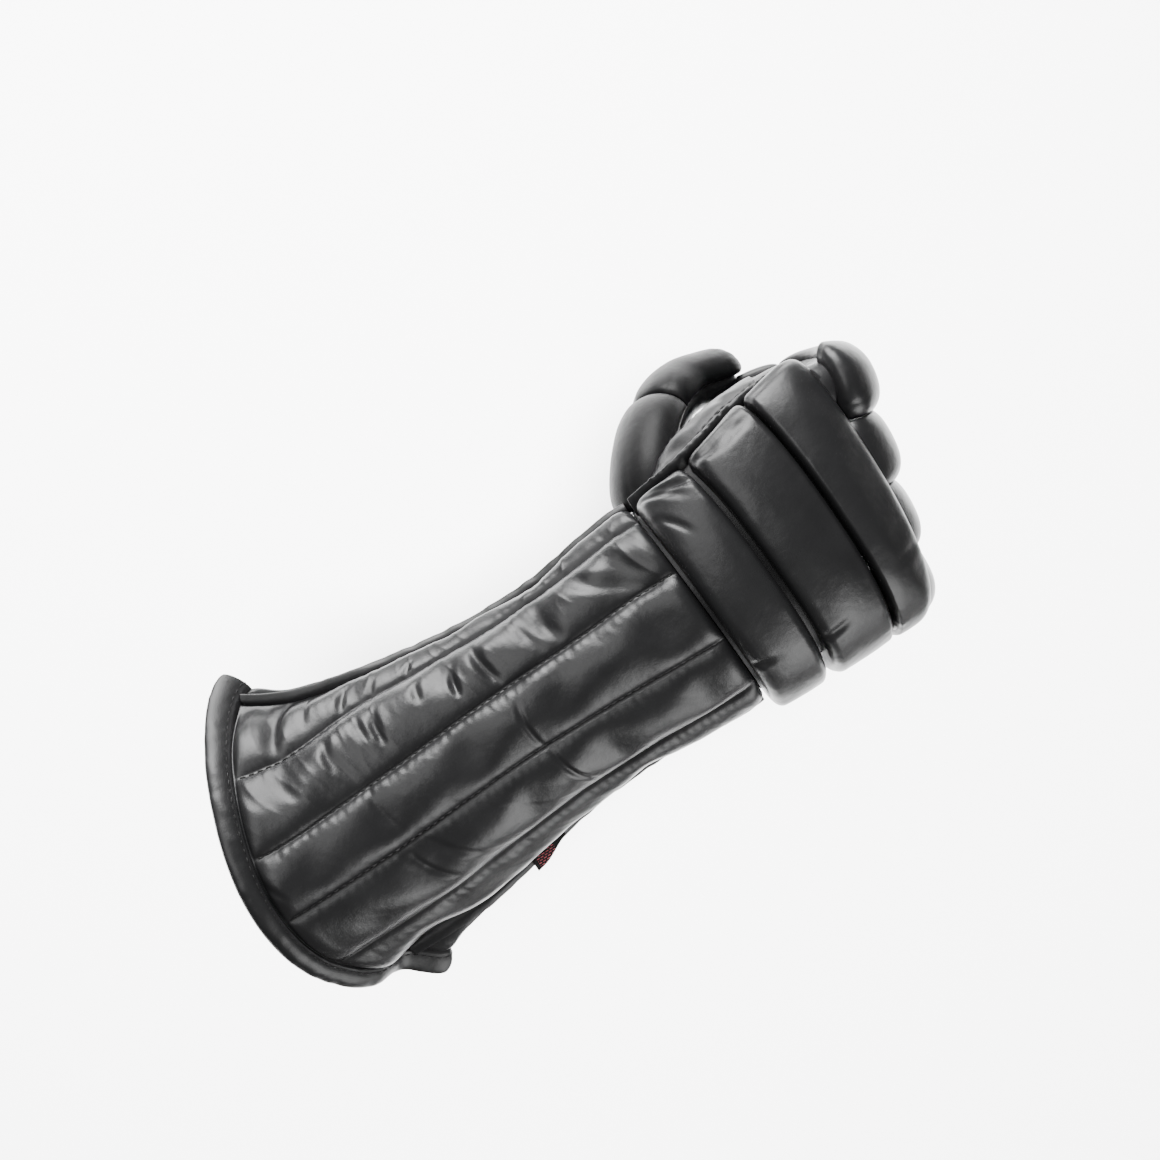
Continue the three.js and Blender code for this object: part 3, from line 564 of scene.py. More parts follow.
def billow(points, pinned, slack, pressure, cap):
    """Moves that a sheet of leather makes when it swells between its pinned seams, from a cloth simulation, with its
    finest wrinkles averaged away and no move longer than cap."""
    sheet = grid_mesh("billow", [(points, False, False)])
    seams = sheet.vertex_groups.new(name="seams")
    seams.add(np.flatnonzero(pinned).tolist(), 1.0, "REPLACE")
    cloth = sheet.modifiers.new("Cloth", "CLOTH")
    cloth.settings.quality = 6
    cloth.settings.mass = 0.2
    for way in ("tension", "compression", "bending"):
        setattr(cloth.settings, way + "_stiffness", CLOTH_STIFFNESS)
    cloth.settings.shrink_min = -slack
    cloth.settings.use_pressure = True
    cloth.settings.uniform_pressure_force = pressure
    cloth.settings.vertex_group_mass = "seams"
    cloth.settings.effector_weights.gravity = 0
    for step in range(CLOTH_STEPS):
        bpy.context.scene.frame_set(step + 1)
    settled = sheet.evaluated_get(bpy.context.evaluated_depsgraph_get()).to_mesh()
    after = np.empty(points.size)
    settled.vertices.foreach_get("co", after)
    moves = after.reshape(points.shape) - points
    bpy.context.scene.frame_set(1)
    bpy.data.objects.remove(sheet)
    for _ in range(CLOTH_SMOOTHING):
        moves[1:-1] = (moves[:-2] + 2 * moves[1:-1] + moves[2:]) / 4
        moves[:, 1:-1] = (moves[:, :-2] + 2 * moves[:, 1:-1] + moves[:, 2:]) / 4
    far = np.linalg.norm(moves, axis=-1, keepdims=True)
    return moves * np.minimum(1, cap / np.maximum(far, 1e-9))


def resample(field, rows, columns):
    """A field on an even grid read again at shares along its rows and columns."""
    def along_axis(values, shares, axis):
        last = values.shape[axis] - 1
        place = np.clip(shares, 0, 1) * last
        i = np.clip(place.astype(int), 0, last - 1)
        t = (place - i).reshape([-1 if k == axis else 1 for k in range(values.ndim)])
        pick = lambda k: np.take(values, np.clip(i + k, 0, last), axis)
        a, b, c, d = pick(-1), pick(0), pick(1), pick(2)
        return b + t * (c - a + t * (2 * a - 5 * b + 4 * c - d + t * (3 * (b - c) + d - a))) / 2
    return along_axis(along_axis(field, rows, 0), columns, 1)


# Materials

def feed(tree, node, inputs):
    """Sets a node's inputs, or links them where another node's output is given."""
    for key, value in inputs.items():
        if isinstance(value, bpy.types.NodeSocket):
            tree.links.new(value, node.inputs[key])
        else:
            node.inputs[key].default_value = value
    return node


def add_node(tree, kind, inputs=None, **values):
    """A shader node with its values set and its inputs fed."""
    node = tree.nodes.new(kind)
    for name, value in values.items():
        setattr(node, name, value)
    return feed(tree, node, inputs or {})


def shader(name):
    """A new material with only a Principled shader, its node tree and the object's own coordinates."""
    material = bpy.data.materials.new(name)
    material.use_nodes = True
    tree = material.node_tree
    surface = next(n for n in tree.nodes if n.type == "BSDF_PRINCIPLED")
    place = add_node(tree, "ShaderNodeTexCoord").outputs["Object"]
    return material, tree, surface, place


def leather(name, base, worn, roughness, grain, shine=0.42):
    """Chrome-tanned cowhide, dyed through and finished. The eye sees a black that is greyer where ridges are rubbed,
    pores under a millimetre wide, broad soft highlights and a faint mottle of more and less polish."""
    material, tree, surface, place = shader(name)
    s = sizes()
    mottle = add_node(tree, "ShaderNodeTexNoise", {"Vector": place, "Scale": 1 / (22 * MM), "Detail": 4.0})
    pores = add_node(tree, "ShaderNodeTexVoronoi", {"Vector": place, "Scale": 1 / s.grain_size},
                     feature="DISTANCE_TO_EDGE")
    fine = add_node(tree, "ShaderNodeTexNoise", {"Vector": place, "Scale": 1 / (0.5 * MM), "Detail": 3.0})
    soft = add_node(tree, "ShaderNodeTexNoise", {"Vector": place, "Scale": 1 / (4.5 * MM), "Detail": 2.0})
    height = add_node(tree, "ShaderNodeAttribute", attribute_name="relief")
    rubbed = add_node(tree, "ShaderNodeMapRange", {"Value": height.outputs["Fac"], "From Min": 0.75, "From Max": 1.25,
                                                  "To Max": 0.55})
    patchy = add_node(tree, "ShaderNodeMath", {0: rubbed.outputs["Result"], 1: mottle.outputs["Fac"]},
                      operation="MULTIPLY")
    blend = add_node(tree, "ShaderNodeMix", {"Factor": patchy.outputs[0], "A": (*base, 1), "B": (*worn, 1)},
                     data_type="RGBA")
    rough = add_node(tree, "ShaderNodeMapRange", {"Value": mottle.outputs["Fac"], "From Min": 0.3, "From Max": 0.7,
                                                 "To Min": roughness - 0.05, "To Max": roughness + 0.07})
    skin = add_node(tree, "ShaderNodeMath", {0: pores.outputs["Distance"], 1: fine.outputs["Fac"]},
                    operation="ADD")
    bump = add_node(tree, "ShaderNodeBump", {"Height": skin.outputs[0], "Strength": grain, "Distance": 0.12 * MM})
    waves = add_node(tree, "ShaderNodeBump", {"Height": soft.outputs["Fac"], "Strength": 0.35, "Distance": 0.5 * MM,
                                             "Normal": bump.outputs["Normal"]})
    feed(tree, surface, {"Base Color": colour_of(blend), "Roughness": rough.outputs["Result"],
                         "Normal": waves.outputs["Normal"], "Specular IOR Level": shine, "Coat Weight": shine / 7,
                         "Coat Roughness": 0.32})
    return material


def colour_of(blend):
    """The colour output of a mix node."""
    return next(o for o in blend.outputs if o.type == "RGBA")


def thread():
    """Waxed polyester thread. The eye sees fine dark dashes with a small dull glint and its twist."""
    material, tree, surface, place = shader("waxed_polyester_thread")
    twist = add_node(tree, "ShaderNodeTexWave", {"Vector": place, "Scale": 1 / (3 * MM), "Distortion": 1.0})
    bump = add_node(tree, "ShaderNodeBump", {"Height": twist.outputs["Fac"], "Strength": 0.4, "Distance": 0.1 * MM})
    feed(tree, surface, {"Base Color": (*looks().thread_colour, 1), "Roughness": 0.55,
                         "Normal": bump.outputs["Normal"]})
    return material


def woven():
    """Damask-woven polyester ribbon. The eye sees a near black ground with a plain band of raised red weft dashes."""
    material, tree, surface, place = shader("woven_damask_ribbon")
    look = looks()
    weft = add_node(tree, "ShaderNodeTexWave", {"Vector": place, "Scale": 1 / (2.2 * MM)}, bands_direction="Z")
    dashes = add_node(tree, "ShaderNodeTexBrick", {
        "Vector": place, "Scale": 1 / (4.4 * MM), "Color1": (1, 1, 1, 1), "Color2": (0.7, 0.7, 0.7, 1),
        "Mortar": (0, 0, 0, 1), "Mortar Size": 0.09})
    spot = add_node(tree, "ShaderNodeSeparateXYZ", {"Vector": place})
    middle = 6 * MM - sizes().tag_along * sizes().gauntlet_length
    marked = add_node(tree, "ShaderNodeMath", {0: spot.outputs["X"], 1: middle, 2: 5 * MM}, operation="COMPARE")
    amount = add_node(tree, "ShaderNodeMath", {0: dashes.outputs["Color"], 1: marked.outputs[0]},
                      operation="MULTIPLY")
    blend = add_node(tree, "ShaderNodeMix", {"Factor": amount.outputs[0], "A": (*look.tag_ground, 1),
                                            "B": (*look.tag_mark, 1)}, data_type="RGBA")
    bump = add_node(tree, "ShaderNodeBump", {"Height": weft.outputs["Fac"], "Strength": 0.5, "Distance": 0.15 * MM})
    feed(tree, surface, {"Base Color": colour_of(blend), "Roughness": 0.85, "Normal": bump.outputs["Normal"]})
    return material


def made(name):
    """A material by its short name, made once."""
    look = looks()
    makers = {
        "pads": lambda: leather("dyed_black_cowhide_pads", look.leather_colour, look.leather_worn, look.gloss, 0.22),
        "quilt": lambda: leather("dyed_black_cowhide_quilted", look.leather_colour, look.leather_worn,
                                 look.gloss - 0.02, 0.3),
        "palm": lambda: leather("soft_black_goatskin", look.palm_colour, look.leather_worn, look.gloss + 0.07, 0.45),
        # The thumb's pads: the pads' leather painted darker, with less shine and more roughness, as painted shade.
        "thumb": lambda: leather("painted_shade_black_cowhide_thumb", look.painted_shade_thumb_colour, look.leather_colour,
                                 look.gloss + 0.1, 0.4, 0.16),
        "band": lambda: leather("folded_black_cowhide_binding", look.band_colour, look.leather_worn,
                                look.gloss + 0.03, 0.3),
        "lining": lambda: leather("raw_inside_of_black_hide", look.lining_colour, look.lining_colour, 0.8, 0.8),
        "thread": thread,
        "tag": woven,
    }
    if name not in CACHE:
        CACHE[name] = makers[name]()
    return CACHE[name]


CACHE = {}


# Stitches: the share of the pitch that shows as thread, and the rings of one stitch as shares of its half length
# and half thickness.
STITCH_SHARE = 0.72
STITCH_RINGS = table("along wide lift", (-1.0, 0.35, -1.2), (-0.72, 0.85, -0.1), (-0.3, 1.0, 0.35),
                     (0.3, 1.0, 0.35), (0.72, 0.85, -0.1), (1.0, 0.35, -1.2))


ROWS_OF_STITCHES = []


def note_stitches(points, outside):
    """Notes a row of stitches along a run of points, sunk where the thread dives, given a point above each."""
    s = sizes()
    walked = np.concatenate([[0], np.cumsum(np.linalg.norm(np.diff(points, axis=0), axis=1))])
    count = max(int(walked[-1] / s.stitch_pitch), 1)
    places = (np.arange(count) + 0.5) * walked[-1] / count
    follow = lambda rows, at: np.stack([np.interp(at, walked, rows[:, k]) for k in range(3)], -1)
    up = unit(follow(outside - points, places))
    tangent = unit(follow(points, np.minimum(places + MM, walked[-1])) - follow(points, places - MM))
    side = unit(np.cross(up, tangent))
    turns = np.radians(np.arange(0, 360, 60))[None, :, None]
    ring_at = (STITCH_RINGS["along"] * s.stitch_pitch * STITCH_SHARE / 2)[:, None, None]
    wide, lift = (STITCH_RINGS[key][:, None, None] * s.stitch_width / 2 for key in ("wide", "lift"))
    for c, t, b, n in zip(follow(points, places), tangent, side, up):
        ring = (np.cos(turns) * b + np.sin(turns) * n) * wide
        ROWS_OF_STITCHES.append((c + t * ring_at + n * lift + ring, True, True))


# Gauntlet

def seam_turn(on_thumb_side, along):
    return read(BACK_LINES, "along", along, "thumb" if on_thumb_side else "heel")


def sewn_turns(on_back, along):
    """Turns of a panel's sewn lines from seam to seam, at places along it."""
    rows = BACK_LINES if on_back else PALM_LINES
    inner = [read(rows, "along", along, name) for name in ("first", "second", "third", "fourth") if name in rows]
    return [seam_turn(on_back, along), *inner, seam_turn(not on_back, along) + (0 if on_back else 360)]


def channel_count(on_back):
    return len(sewn_turns(on_back, 0)) - 1


def panel_turn(on_back, along, across):
    """Across is 0 and 1 at a panel's seams, and passes its sewn lines at equal shares between them."""
    turns = sewn_turns(on_back, along)
    place = np.clip(across, 0, 1) * (len(turns) - 1)
    turn = turns[0] + 0 * place
    for k in range(len(turns) - 1):
        turn = turn + (turns[k + 1] - turns[k]) * np.clip(place - k, 0, 1)
    return turn


def panel_point(on_back):
    return lambda along, across, out: gauntlet_point(along, panel_turn(on_back, along, across), out)


def band_start():
    return 1 - sizes().band_width / sizes().gauntlet_length


def gathers(along, across, channels, strength):
    """Small folds drawn in by the sewing: broad ones across each channel, and fine ones below each seam."""
    s = sizes()
    along_mm = along * s.gauntlet_length / MM
    within = (across * channels) % 1
    below, above = within / channels * 140, (1 - within) / channels * 140
    amount = np.interp(across, (np.arange(len(strength)) + 0.5) / len(strength), strength)
    slanted = along_mm + 130 * across ** 2
    drift = 0.9 * noise(along_mm / FOLDS["drift"], across * 3, 3)
    broad = 1 - np.abs(noise(slanted / FOLDS["broad"] + drift, across * 1.7, 1))
    middling = 1 - np.abs(noise(slanted / FOLDS["middling"] + drift, across * 2.3, 6))
    streaks = noise(slanted / FOLDS["streak"] + drift, across * 4, 2)
    fan = along_mm + 0.35 * below
    pinched = 0.6 * noise(fan / FOLDS["pucker"], across * 3, 4)
    pinched = pinched + 0.55 * noise(fan / FOLDS["fine_pucker"], across * 3, 5)
    stitched = np.cos(2 * math.pi * along_mm * MM / s.stitch_pitch)
    drawn = np.exp(-(below / 4) ** 2) + 0.35 * np.exp(-(above / 2.5) ** 2)
    ease = 1 - np.exp(-(np.minimum(below, above) / 1.1) ** 2)
    across_folds = 0.75 * (broad ** 4 - 0.35) + 0.35 * (middling ** 5 - 0.3) + 0.17 * streaks
    return MM * (amount * across_folds + (0.4 * pinched + 0.1 * stitched) * drawn * ease)


def channel_puff(side, channels):
    """The round backs of the channels, low beside the strips at the panel's own seams."""
    from_seam = np.minimum(side, 1 - side) * PANEL_SPAN
    return pillow((side * channels) % 1, 0.5, 2.3) * mix(0.25, 1, smoothstep(from_seam, 0, 16 * MM))


def quilted(name, node, on_back, rows, columns, strength):
    """A quilted panel of the gauntlet, with its lining, and its sewn lines noted."""
    s = sizes()
    channels = channel_count(on_back)
    point = panel_point(on_back)
    start = 0.0006
    share = np.linspace(start, 1, rows)
    slot = (s.strip_thickness / 2 + s.seam_gap) / 0.15
    across = np.linspace(slot * 0.9, 1 - slot * 0.9, columns)
    along, side = spread(share, across)
    near_band = pillow(np.clip(along / band_start(), 0, 1), 0.035)
    puff = channel_puff(side, channels) * near_band
    dents = creases(GAUNTLET_CREASES, along, side, s.gauntlet_length, PANEL_SPAN) if on_back else 0
    folds = gathers(along, side, channels, strength) * near_band
    height = s.quilt_wall + puff * s.quilt_loft - dents * (0.25 + 0.75 * puff) + folds * (0.35 + 0.65 * puff)
    points, flipped = skirted(point, along, side, height, 0.0)
    swell = swollen(point, along, side, channels)
    points[1:-1, 1:-1] += resample(swell, np.linspace(0, 1, rows), np.linspace(0, 1, columns))
    inner_along, inner_side = spread(np.linspace(start, 1, 60), np.linspace(across[0], across[-1], 60))
    lining = point(inner_along, inner_side, np.zeros_like(inner_along))
    piece = grid_mesh(name, [(points, False, flipped), (lining, False, not flipped)])
    relief(piece, np.pad(puff + folds / MM * 0.25 - dents / MM * 0.2, 1, constant_values=0.2))
    finish_piece(piece, made("quilt"), "black_leather", node)
    piece.data.materials.append(made("lining"))
    outer_faces = (rows + 1) * (columns + 1)
    index = (np.arange(len(piece.data.polygons)) >= outer_faces).astype(np.int32)
    piece.data.polygons.foreach_set("material_index", index)
    for line in range(1, channels):
        column = np.argmin(np.abs(across - line / channels))
        run = slice(3, int(rows * band_start()) - 2)
        path = points[1:-1, 1:-1][run, column]
        above = point(along[run, column], side[run, column], height[run, column] + MM)
        note_stitches(path + (above - path) * 0.25, above + (above - path) * 0.25)


def swollen(point, along, side, channels):
    """How the channels of a panel billow and buckle between their sewn lines."""
    s = sizes()
    rows, columns = 76, channels * 12 + 1
    a, c = spread(np.linspace(along[0, 0], 1, rows), np.linspace(side[0, 0], side[0, -1], columns))
    held = np.abs((c * channels + 0.5) % 1 - 0.5) < 0.06
    held |= (a < 0.02) | (a > band_start() - 0.01)
    rest = s.quilt_wall + channel_puff(c, channels) * s.quilt_loft * 0.85
    sheet = point(a, c, rest)
    grown = point(a, c, rest + MM)
    return billow(sheet, held, 0.02, 2.5 if faces_out(sheet, grown) else -2.5, 1.8 * MM)


class GLOVE_OT_gauntlet(bpy.types.Operator):
    """Builds the two quilted panels of the gauntlet"""
    bl_idname = "glove.gauntlet"
    bl_label = "Gauntlet panels"

    def execute(self, context):
        quilted("gauntlet_back_quilt", "gauntlet_back", True, 430, 190, (0.75, 0.8, 0.12, 0.12, 0.2))
        quilted("gauntlet_palm_quilt", "gauntlet_palm", False, 260, 120, (0.3, 0.2, 0.2, 0.35))
        return {"FINISHED"}


def beside_seam(on_thumb_side):
    """The surface beside a side seam, side metres round the gauntlet from it."""
    def point(along, side, out):
        turn = seam_turn(on_thumb_side, along)
        on_seam = gauntlet_point(along, turn, out)
        return on_seam + unit(gauntlet_point(along, turn + 1, out) - on_seam) * np.asarray(side)[..., None]
    return point


def capped(points):
    """Rings of points with both ends drawn in to their middles."""
    first, last = (np.repeat(ring.mean(1, keepdims=True), points.shape[1], 1) for ring in (points[:1], points[-1:]))
    return np.concatenate([first, points, last])


def seam_strip(on_thumb_side):
    """The rolled double edge that stands up along a side seam."""
    s = sizes()
    point = beside_seam(on_thumb_side)
    clear = 2 * s.seam_gap / s.gauntlet_length
    share = np.linspace(clear, band_start() - clear, 420)
    turns = np.linspace(0, 360, 25)[:-1]
    along, turn = spread(share, turns)
    angle = np.radians(turn)
    wavy = 0.35 * MM * noise(along * 16, turn * 0 + 2, 5 + on_thumb_side)
    tall = s.quilt_wall + s.strip_height * pillow(mix(0.03, 0.97, (along - share[0]) / np.ptp(share)), 0.06)
    tall = tall + 0.25 * MM * noise(along * 40, turn * 0, 8)
    high = 0.5 + 0.5 * np.sign(np.sin(angle)) * np.abs(np.sin(angle)) ** 0.8
    rolled = 0.8 + 0.8 * np.sin(math.pi * np.clip(high * 1.5 - 0.5, 0, 1))
    side = np.cos(angle) * s.strip_thickness / 2 * rolled + wavy * np.clip(np.sin(angle), 0, 1)
    out = tall * high
    points = point(along, side, out)
    outside = point(along, side * 2, out)
    name = "thumb_side" if on_thumb_side else "heel_side"
    points = capped(points)
    flipped = np.dot(np.cross(points[9, 1] - points[9, 0], points[10, 0] - points[9, 0]),
                     outside[9, 0] - points[9, 0]) < 0
    piece = grid_mesh("strip_" + name, [(points, True, flipped)])
    half, up = s.strip_thickness / 2, np.full(len(share), s.quilt_wall + 0.62 * s.strip_height)
    for sign in (1, -1):
        path, above = (point(share, np.full(len(share), sign * wide), up) for wide in (half, half + MM))
        note_stitches(path, above)
    return finish_piece(piece, made("band"), "band_leather", "seam_strip_" + name)


def hem_band():
    """The band bound over the hem: a rolled edge with a sewn line, standing out at the two ears."""
    s = sizes()
    fine = np.linspace(0, 360, 721)
    rim = gauntlet_point(1.0, fine, 0)
    walked = np.concatenate([[0], np.cumsum(np.linalg.norm(np.diff(rim, axis=0), axis=1))])
    corner = np.interp(180, fine, walked)
    even = np.concatenate([np.linspace(0, corner, 221)[:-1], np.linspace(corner, walked[-1], 221)[:-1]])
    round_hem = np.interp(even, walked, fine)
    ear = np.abs(np.cos(np.radians(round_hem))) ** 14
    t = np.linspace(0, 1, 41)[:-1]
    rows = len(BAND_PROFILE["along"])
    place = {key: np.concatenate([BAND_PROFILE[key], BAND_PROFILE[key][:1]]) for key in ("along", "out")}
    place["t"] = np.linspace(0, 1, rows + 1)
    reach, out = read(place, "t", t, "along"), read(place, "t", t, "out")
    share, turn = spread(t, round_hem)
    reach, out = reach[:, None] + 0 * turn, out[:, None] * MM + 0 * turn
    outer = np.clip((out - 2 * MM) / (3 * MM), 0, 1)
    out = out + outer * s.band_flare * mix(0.15, 0.6, ear)
    out = out + outer * 0.3 * MM * noise(turn / 3, share * 4, 11)
    width = s.band_width / s.gauntlet_length
    along = 1 - width + width * reach * (1 + 0.25 * ear * np.clip(reach - 0.9, 0, 1))
    points = gauntlet_point(along, turn, out)
    middles = points.mean(0)
    ring = np.swapaxes(np.concatenate([points, points[:, :1]], 1), 0, 1)
    normal = np.cross(ring[5, 21] - ring[5, 20], ring[6, 20] - ring[5, 20])
    flipped = np.dot(normal, ring[5, 20] - middles[5]) < 0
    piece = grid_mesh("hem_binding", [(ring, True, flipped)])
    line = int(np.argmin(np.abs(reach[:, 0] - 0.2) + 10 * (out[:, 0] < 4 * MM)))
    path = np.concatenate([points[line], points[line][:1]])
    above = gauntlet_point(along[line], turn[line], out[line] + MM)
    note_stitches(path, np.concatenate([above, above[:1]]))
    return finish_piece(piece, made("band"), "band_leather", "hem_band")


def side_tag():
    """The folded ribbon tag in the heel-side seam."""
    s = sizes()
    point = beside_seam(False)
    half = s.tag_length / s.gauntlet_length / 2
    t = np.linspace(0, 1, 40)
    section = np.linspace(0, 360, 33)[:-1]
    along, turn = spread(s.tag_along - half + 2 * half * t, section)
    angle = np.radians(turn)
    squared = lambda v: np.sign(v) * np.abs(v) ** 0.35
    low = s.quilt_wall + 0.4 * s.tag_height
    narrowing = smoothstep(along, s.tag_along + 0.6 * half, s.tag_along - half)
    high = s.quilt_wall + s.tag_height * mix(1, 0.62, narrowing)
    out = mix(low, high, 0.5 + 0.5 * squared(np.sin(angle)))
    side = -(s.strip_thickness / 2 + s.seam_gap) - 0.45 * MM * (1 + squared(np.cos(angle)))
    points = point(along, side, out)
    piece = grid_mesh("side_tag_ribbon", [(capped(points), True, False)])
    return finish_piece(piece, made("tag"), "woven_tag", "side_tag")


class GLOVE_OT_trim(bpy.types.Operator):
    """Builds the hem band, the side seams' strips and the tag"""
    bl_idname = "glove.trim"
    bl_label = "Gauntlet trim"

    def execute(self, context):
        hem_band()
        seam_strip(True)
        seam_strip(False)
        side_tag()
        return {"FINISHED"}


# Hand

def pad_edge_turn(along):
    return read(PAD_SEAMS, "thumb", along, "edge")


def hand_front(turn):
    s = sizes()
    return HAND_FRONT + s.knuckle_slant * hand_point(1.0 + 0 * turn, turn, 0)[..., 1] / s.palm_length


def inside_tubes(points, tubes, out):
    """Which points lie inside any of the tubes."""
    hit = np.zeros(points.shape[:-1], bool)
    for tube in tubes:
        hit |= np.any(np.abs(tube.clear(points, out) - points) > 1e-7, -1)
    return hit


def hand_shell(tubes):
    """The thin leather hand: an outer and an inner skin that close in front, with holes for fingers and thumb."""
    s = sizes()
    t = np.linspace(0, 1, 112)
    turn = np.linspace(0, 360, 205)[:-1]
    share, turns = spread(t, turn)
    sides = 0.82
    reach = np.clip(share / sides, 0, 1)
    closing = np.clip((share - sides) / (1 - sides), 0, 1)
    grids = []
    for out, back in ((s.leather, 0.0), (0.0, s.leather / s.palm_length)):
        front = hand_front(turns) - back
        skin = hand_point(0.001 + (front - 0.001) * reach, turns, out)
        middle = skin.mean(1, keepdims=True)
        rim = skin.copy()
        rim[..., 1:] = mix(skin[..., 1:], middle[..., 1:], closing[..., None])
        end_plane = s.seam_gap / 2 + s.palm_length * (HAND_FRONT - back) + s.knuckle_slant * rim[..., 1]
        rim[..., 0] = mix(skin[..., 0], end_plane, np.minimum(closing * 12, 1))
        grids.append(rim)
    piece = grid_mesh("hand_leather", [(grids[0], True, True), (grids[1], True, False)])
    mesh = piece.data
    middles = np.empty(len(mesh.polygons) * 3)
    mesh.polygons.foreach_get("center", middles)
    holes = np.flatnonzero(inside_tubes(middles.reshape(-1, 3), tubes, 0.3 * MM))
    drop_faces(mesh, holes)
    return finish_piece(piece, made("palm"), "palm_leather", "hand_shell")


def drop_faces(mesh, indices):
    """Deletes faces of a mesh by their numbers."""
    work = bmesh.new()
    work.from_mesh(mesh)
    work.faces.ensure_lookup_table()
    bmesh.ops.delete(work, geom=[work.faces[i] for i in indices.tolist()], context="FACES")
    work.to_mesh(mesh)
    work.free()


def edge_strip_point(from_turn, to_turn):
    return lambda along, across, out: hand_point(along, pad_edge_turn(along) - mix(from_turn, to_turn, across), out)


def piping(tubes):
    """The sewn ridge beside the pads, thicker at the wrist."""
    s = sizes()
    point = edge_strip_point(1, 6)
    along, across = spread(np.linspace(0.012, 0.975, 260), np.linspace(0, 1, 30))
    thick = s.piping_radius * mix(2.6, 0.8, along ** 0.7)
    ridge = thick * mix(0.3, 1.6, pillow(across, 0.5)) + 0.4 * MM * noise(along * 45, across * 2, 21)
    height = s.leather + s.seam_gap + ridge
    points, flipped = skirted(point, along, across, height, s.leather)
    points = clear_of(points, tubes)
    piece = grid_mesh("edge_piping", [(points, False, flipped)])
    relief(piece, np.pad(0.6 + 0 * along, 1))
    note_stitches(points[4:-4, -3], point(along[3:-3, -2], across[3:-3, -2], height[3:-3, -2] + 4 * MM))
    return finish_piece(piece, made("band"), "band_leather", "pad_piping")


def gusset(tubes):
    """The strip of soft leather between the pads and the thumb, sewn and pricked along both edges."""
    s = sizes()
    point = edge_strip_point(7, 28)
    along, across = spread(np.linspace(0.03, 0.89, 170), np.linspace(0, 1, 60))
    folds = 0.9 * MM * noise(along * 11, across * 2 + along * 7, 22) * np.sin(math.pi * across)
    sunk = sum(np.exp(-((across - at) / 0.035) ** 2) for at in (0.08, 0.92))
    pricked = 0.35 + 0.25 * np.cos(2 * math.pi * along * s.palm_length / s.stitch_pitch)
    height = s.leather + s.seam_gap + s.leather * pillow(across, 0.08) + folds - sunk * pricked * MM
    points, flipped = skirted(point, along, across, height, s.leather)
    points = clear_of(points, tubes)
    piece = grid_mesh("thumb_gusset_leather", [(points, False, flipped)])
    for column in (5, -6):
        path = points[4:-4, column]
        above = point(along[3:-3, column], across[3:-3, column], height[3:-3, column] + 3 * MM)
        note_stitches(path, above)
    return finish_piece(piece, made("palm"), "palm_leather", "thumb_gusset")


def clear_of(points, tubes):
    """Points pressed out of the leather of fingers and thumb."""
    s = sizes()
    for tube in tubes:
        points = tube.clear(points, s.leather + s.seam_gap)
    return points


class GLOVE_OT_hand(bpy.types.Operator):
    """Builds the thin leather hand, the piping and the gusset"""
    bl_idname = "glove.hand"
    bl_label = "Hand leather"

    def execute(self, context):
        fingers = [finger_tube(name) for name in FINGERS]
        hand_shell([*fingers, thumb_tube()])
        piping([thumb_tube(), *fingers])
        gusset([thumb_tube(), *fingers])
        return {"FINISHED"}


def seam_at(seam, across):
    thumb, crown, heel = (PAD_SEAMS[c][seam] for c in ("thumb", "crown", "heel"))
    rest = 1 - across
    return thumb * rest * (rest - across) + 4 * crown * across * rest + heel * across * (across - rest)


def pad_point(along, across, out):
    return hand_point(along, mix(pad_edge_turn(along), PADS_HEEL_TURN, across), out)


def between_seams(seam, share, across):
    """Places along the hand, from one of the pads' seams to the next, with the pad's corners rounded."""
    corner = 3.5 * MM
    near_end = np.clip(np.minimum(across, 1 - across) * 130 * MM / corner, 0, 1)
    inset = PAD_SEAMS["gape"] * MM / 2
    inset = (inset[:, None, None] + corner * (1 - np.sqrt(1 - (1 - near_end) ** 2))) / sizes().palm_length
    return mix(seam_at(seam, across) + inset[seam], seam_at(seam + 1, across) - inset[seam + 1], share)


def pad_height(seam, share, across):
    """Height of a pad over its base, and its puff: flat on top, rolled over at every edge, domed at the thumb."""
    s = sizes()
    ends = np.minimum(pillow(across / 2, 0.1, 2.4), pillow(0.5 + across / 2, 0.045, 2.4))
    back, front = PAD_SEAMS["roll"][seam], PAD_SEAMS["roll"][seam + 1]
    sides = np.minimum(pillow(share / 2, back / 2, 2.4), pillow(0.5 + share / 2, front / 2, 2.4))
    puff = sides * ends * mix(0.92, 1, np.sin(math.pi * share))
    edge = s.pad_edge * mix(0.45, 1, smoothstep(across, 0, 0.09))
    return mix(edge, s.pad_loft, puff), puff


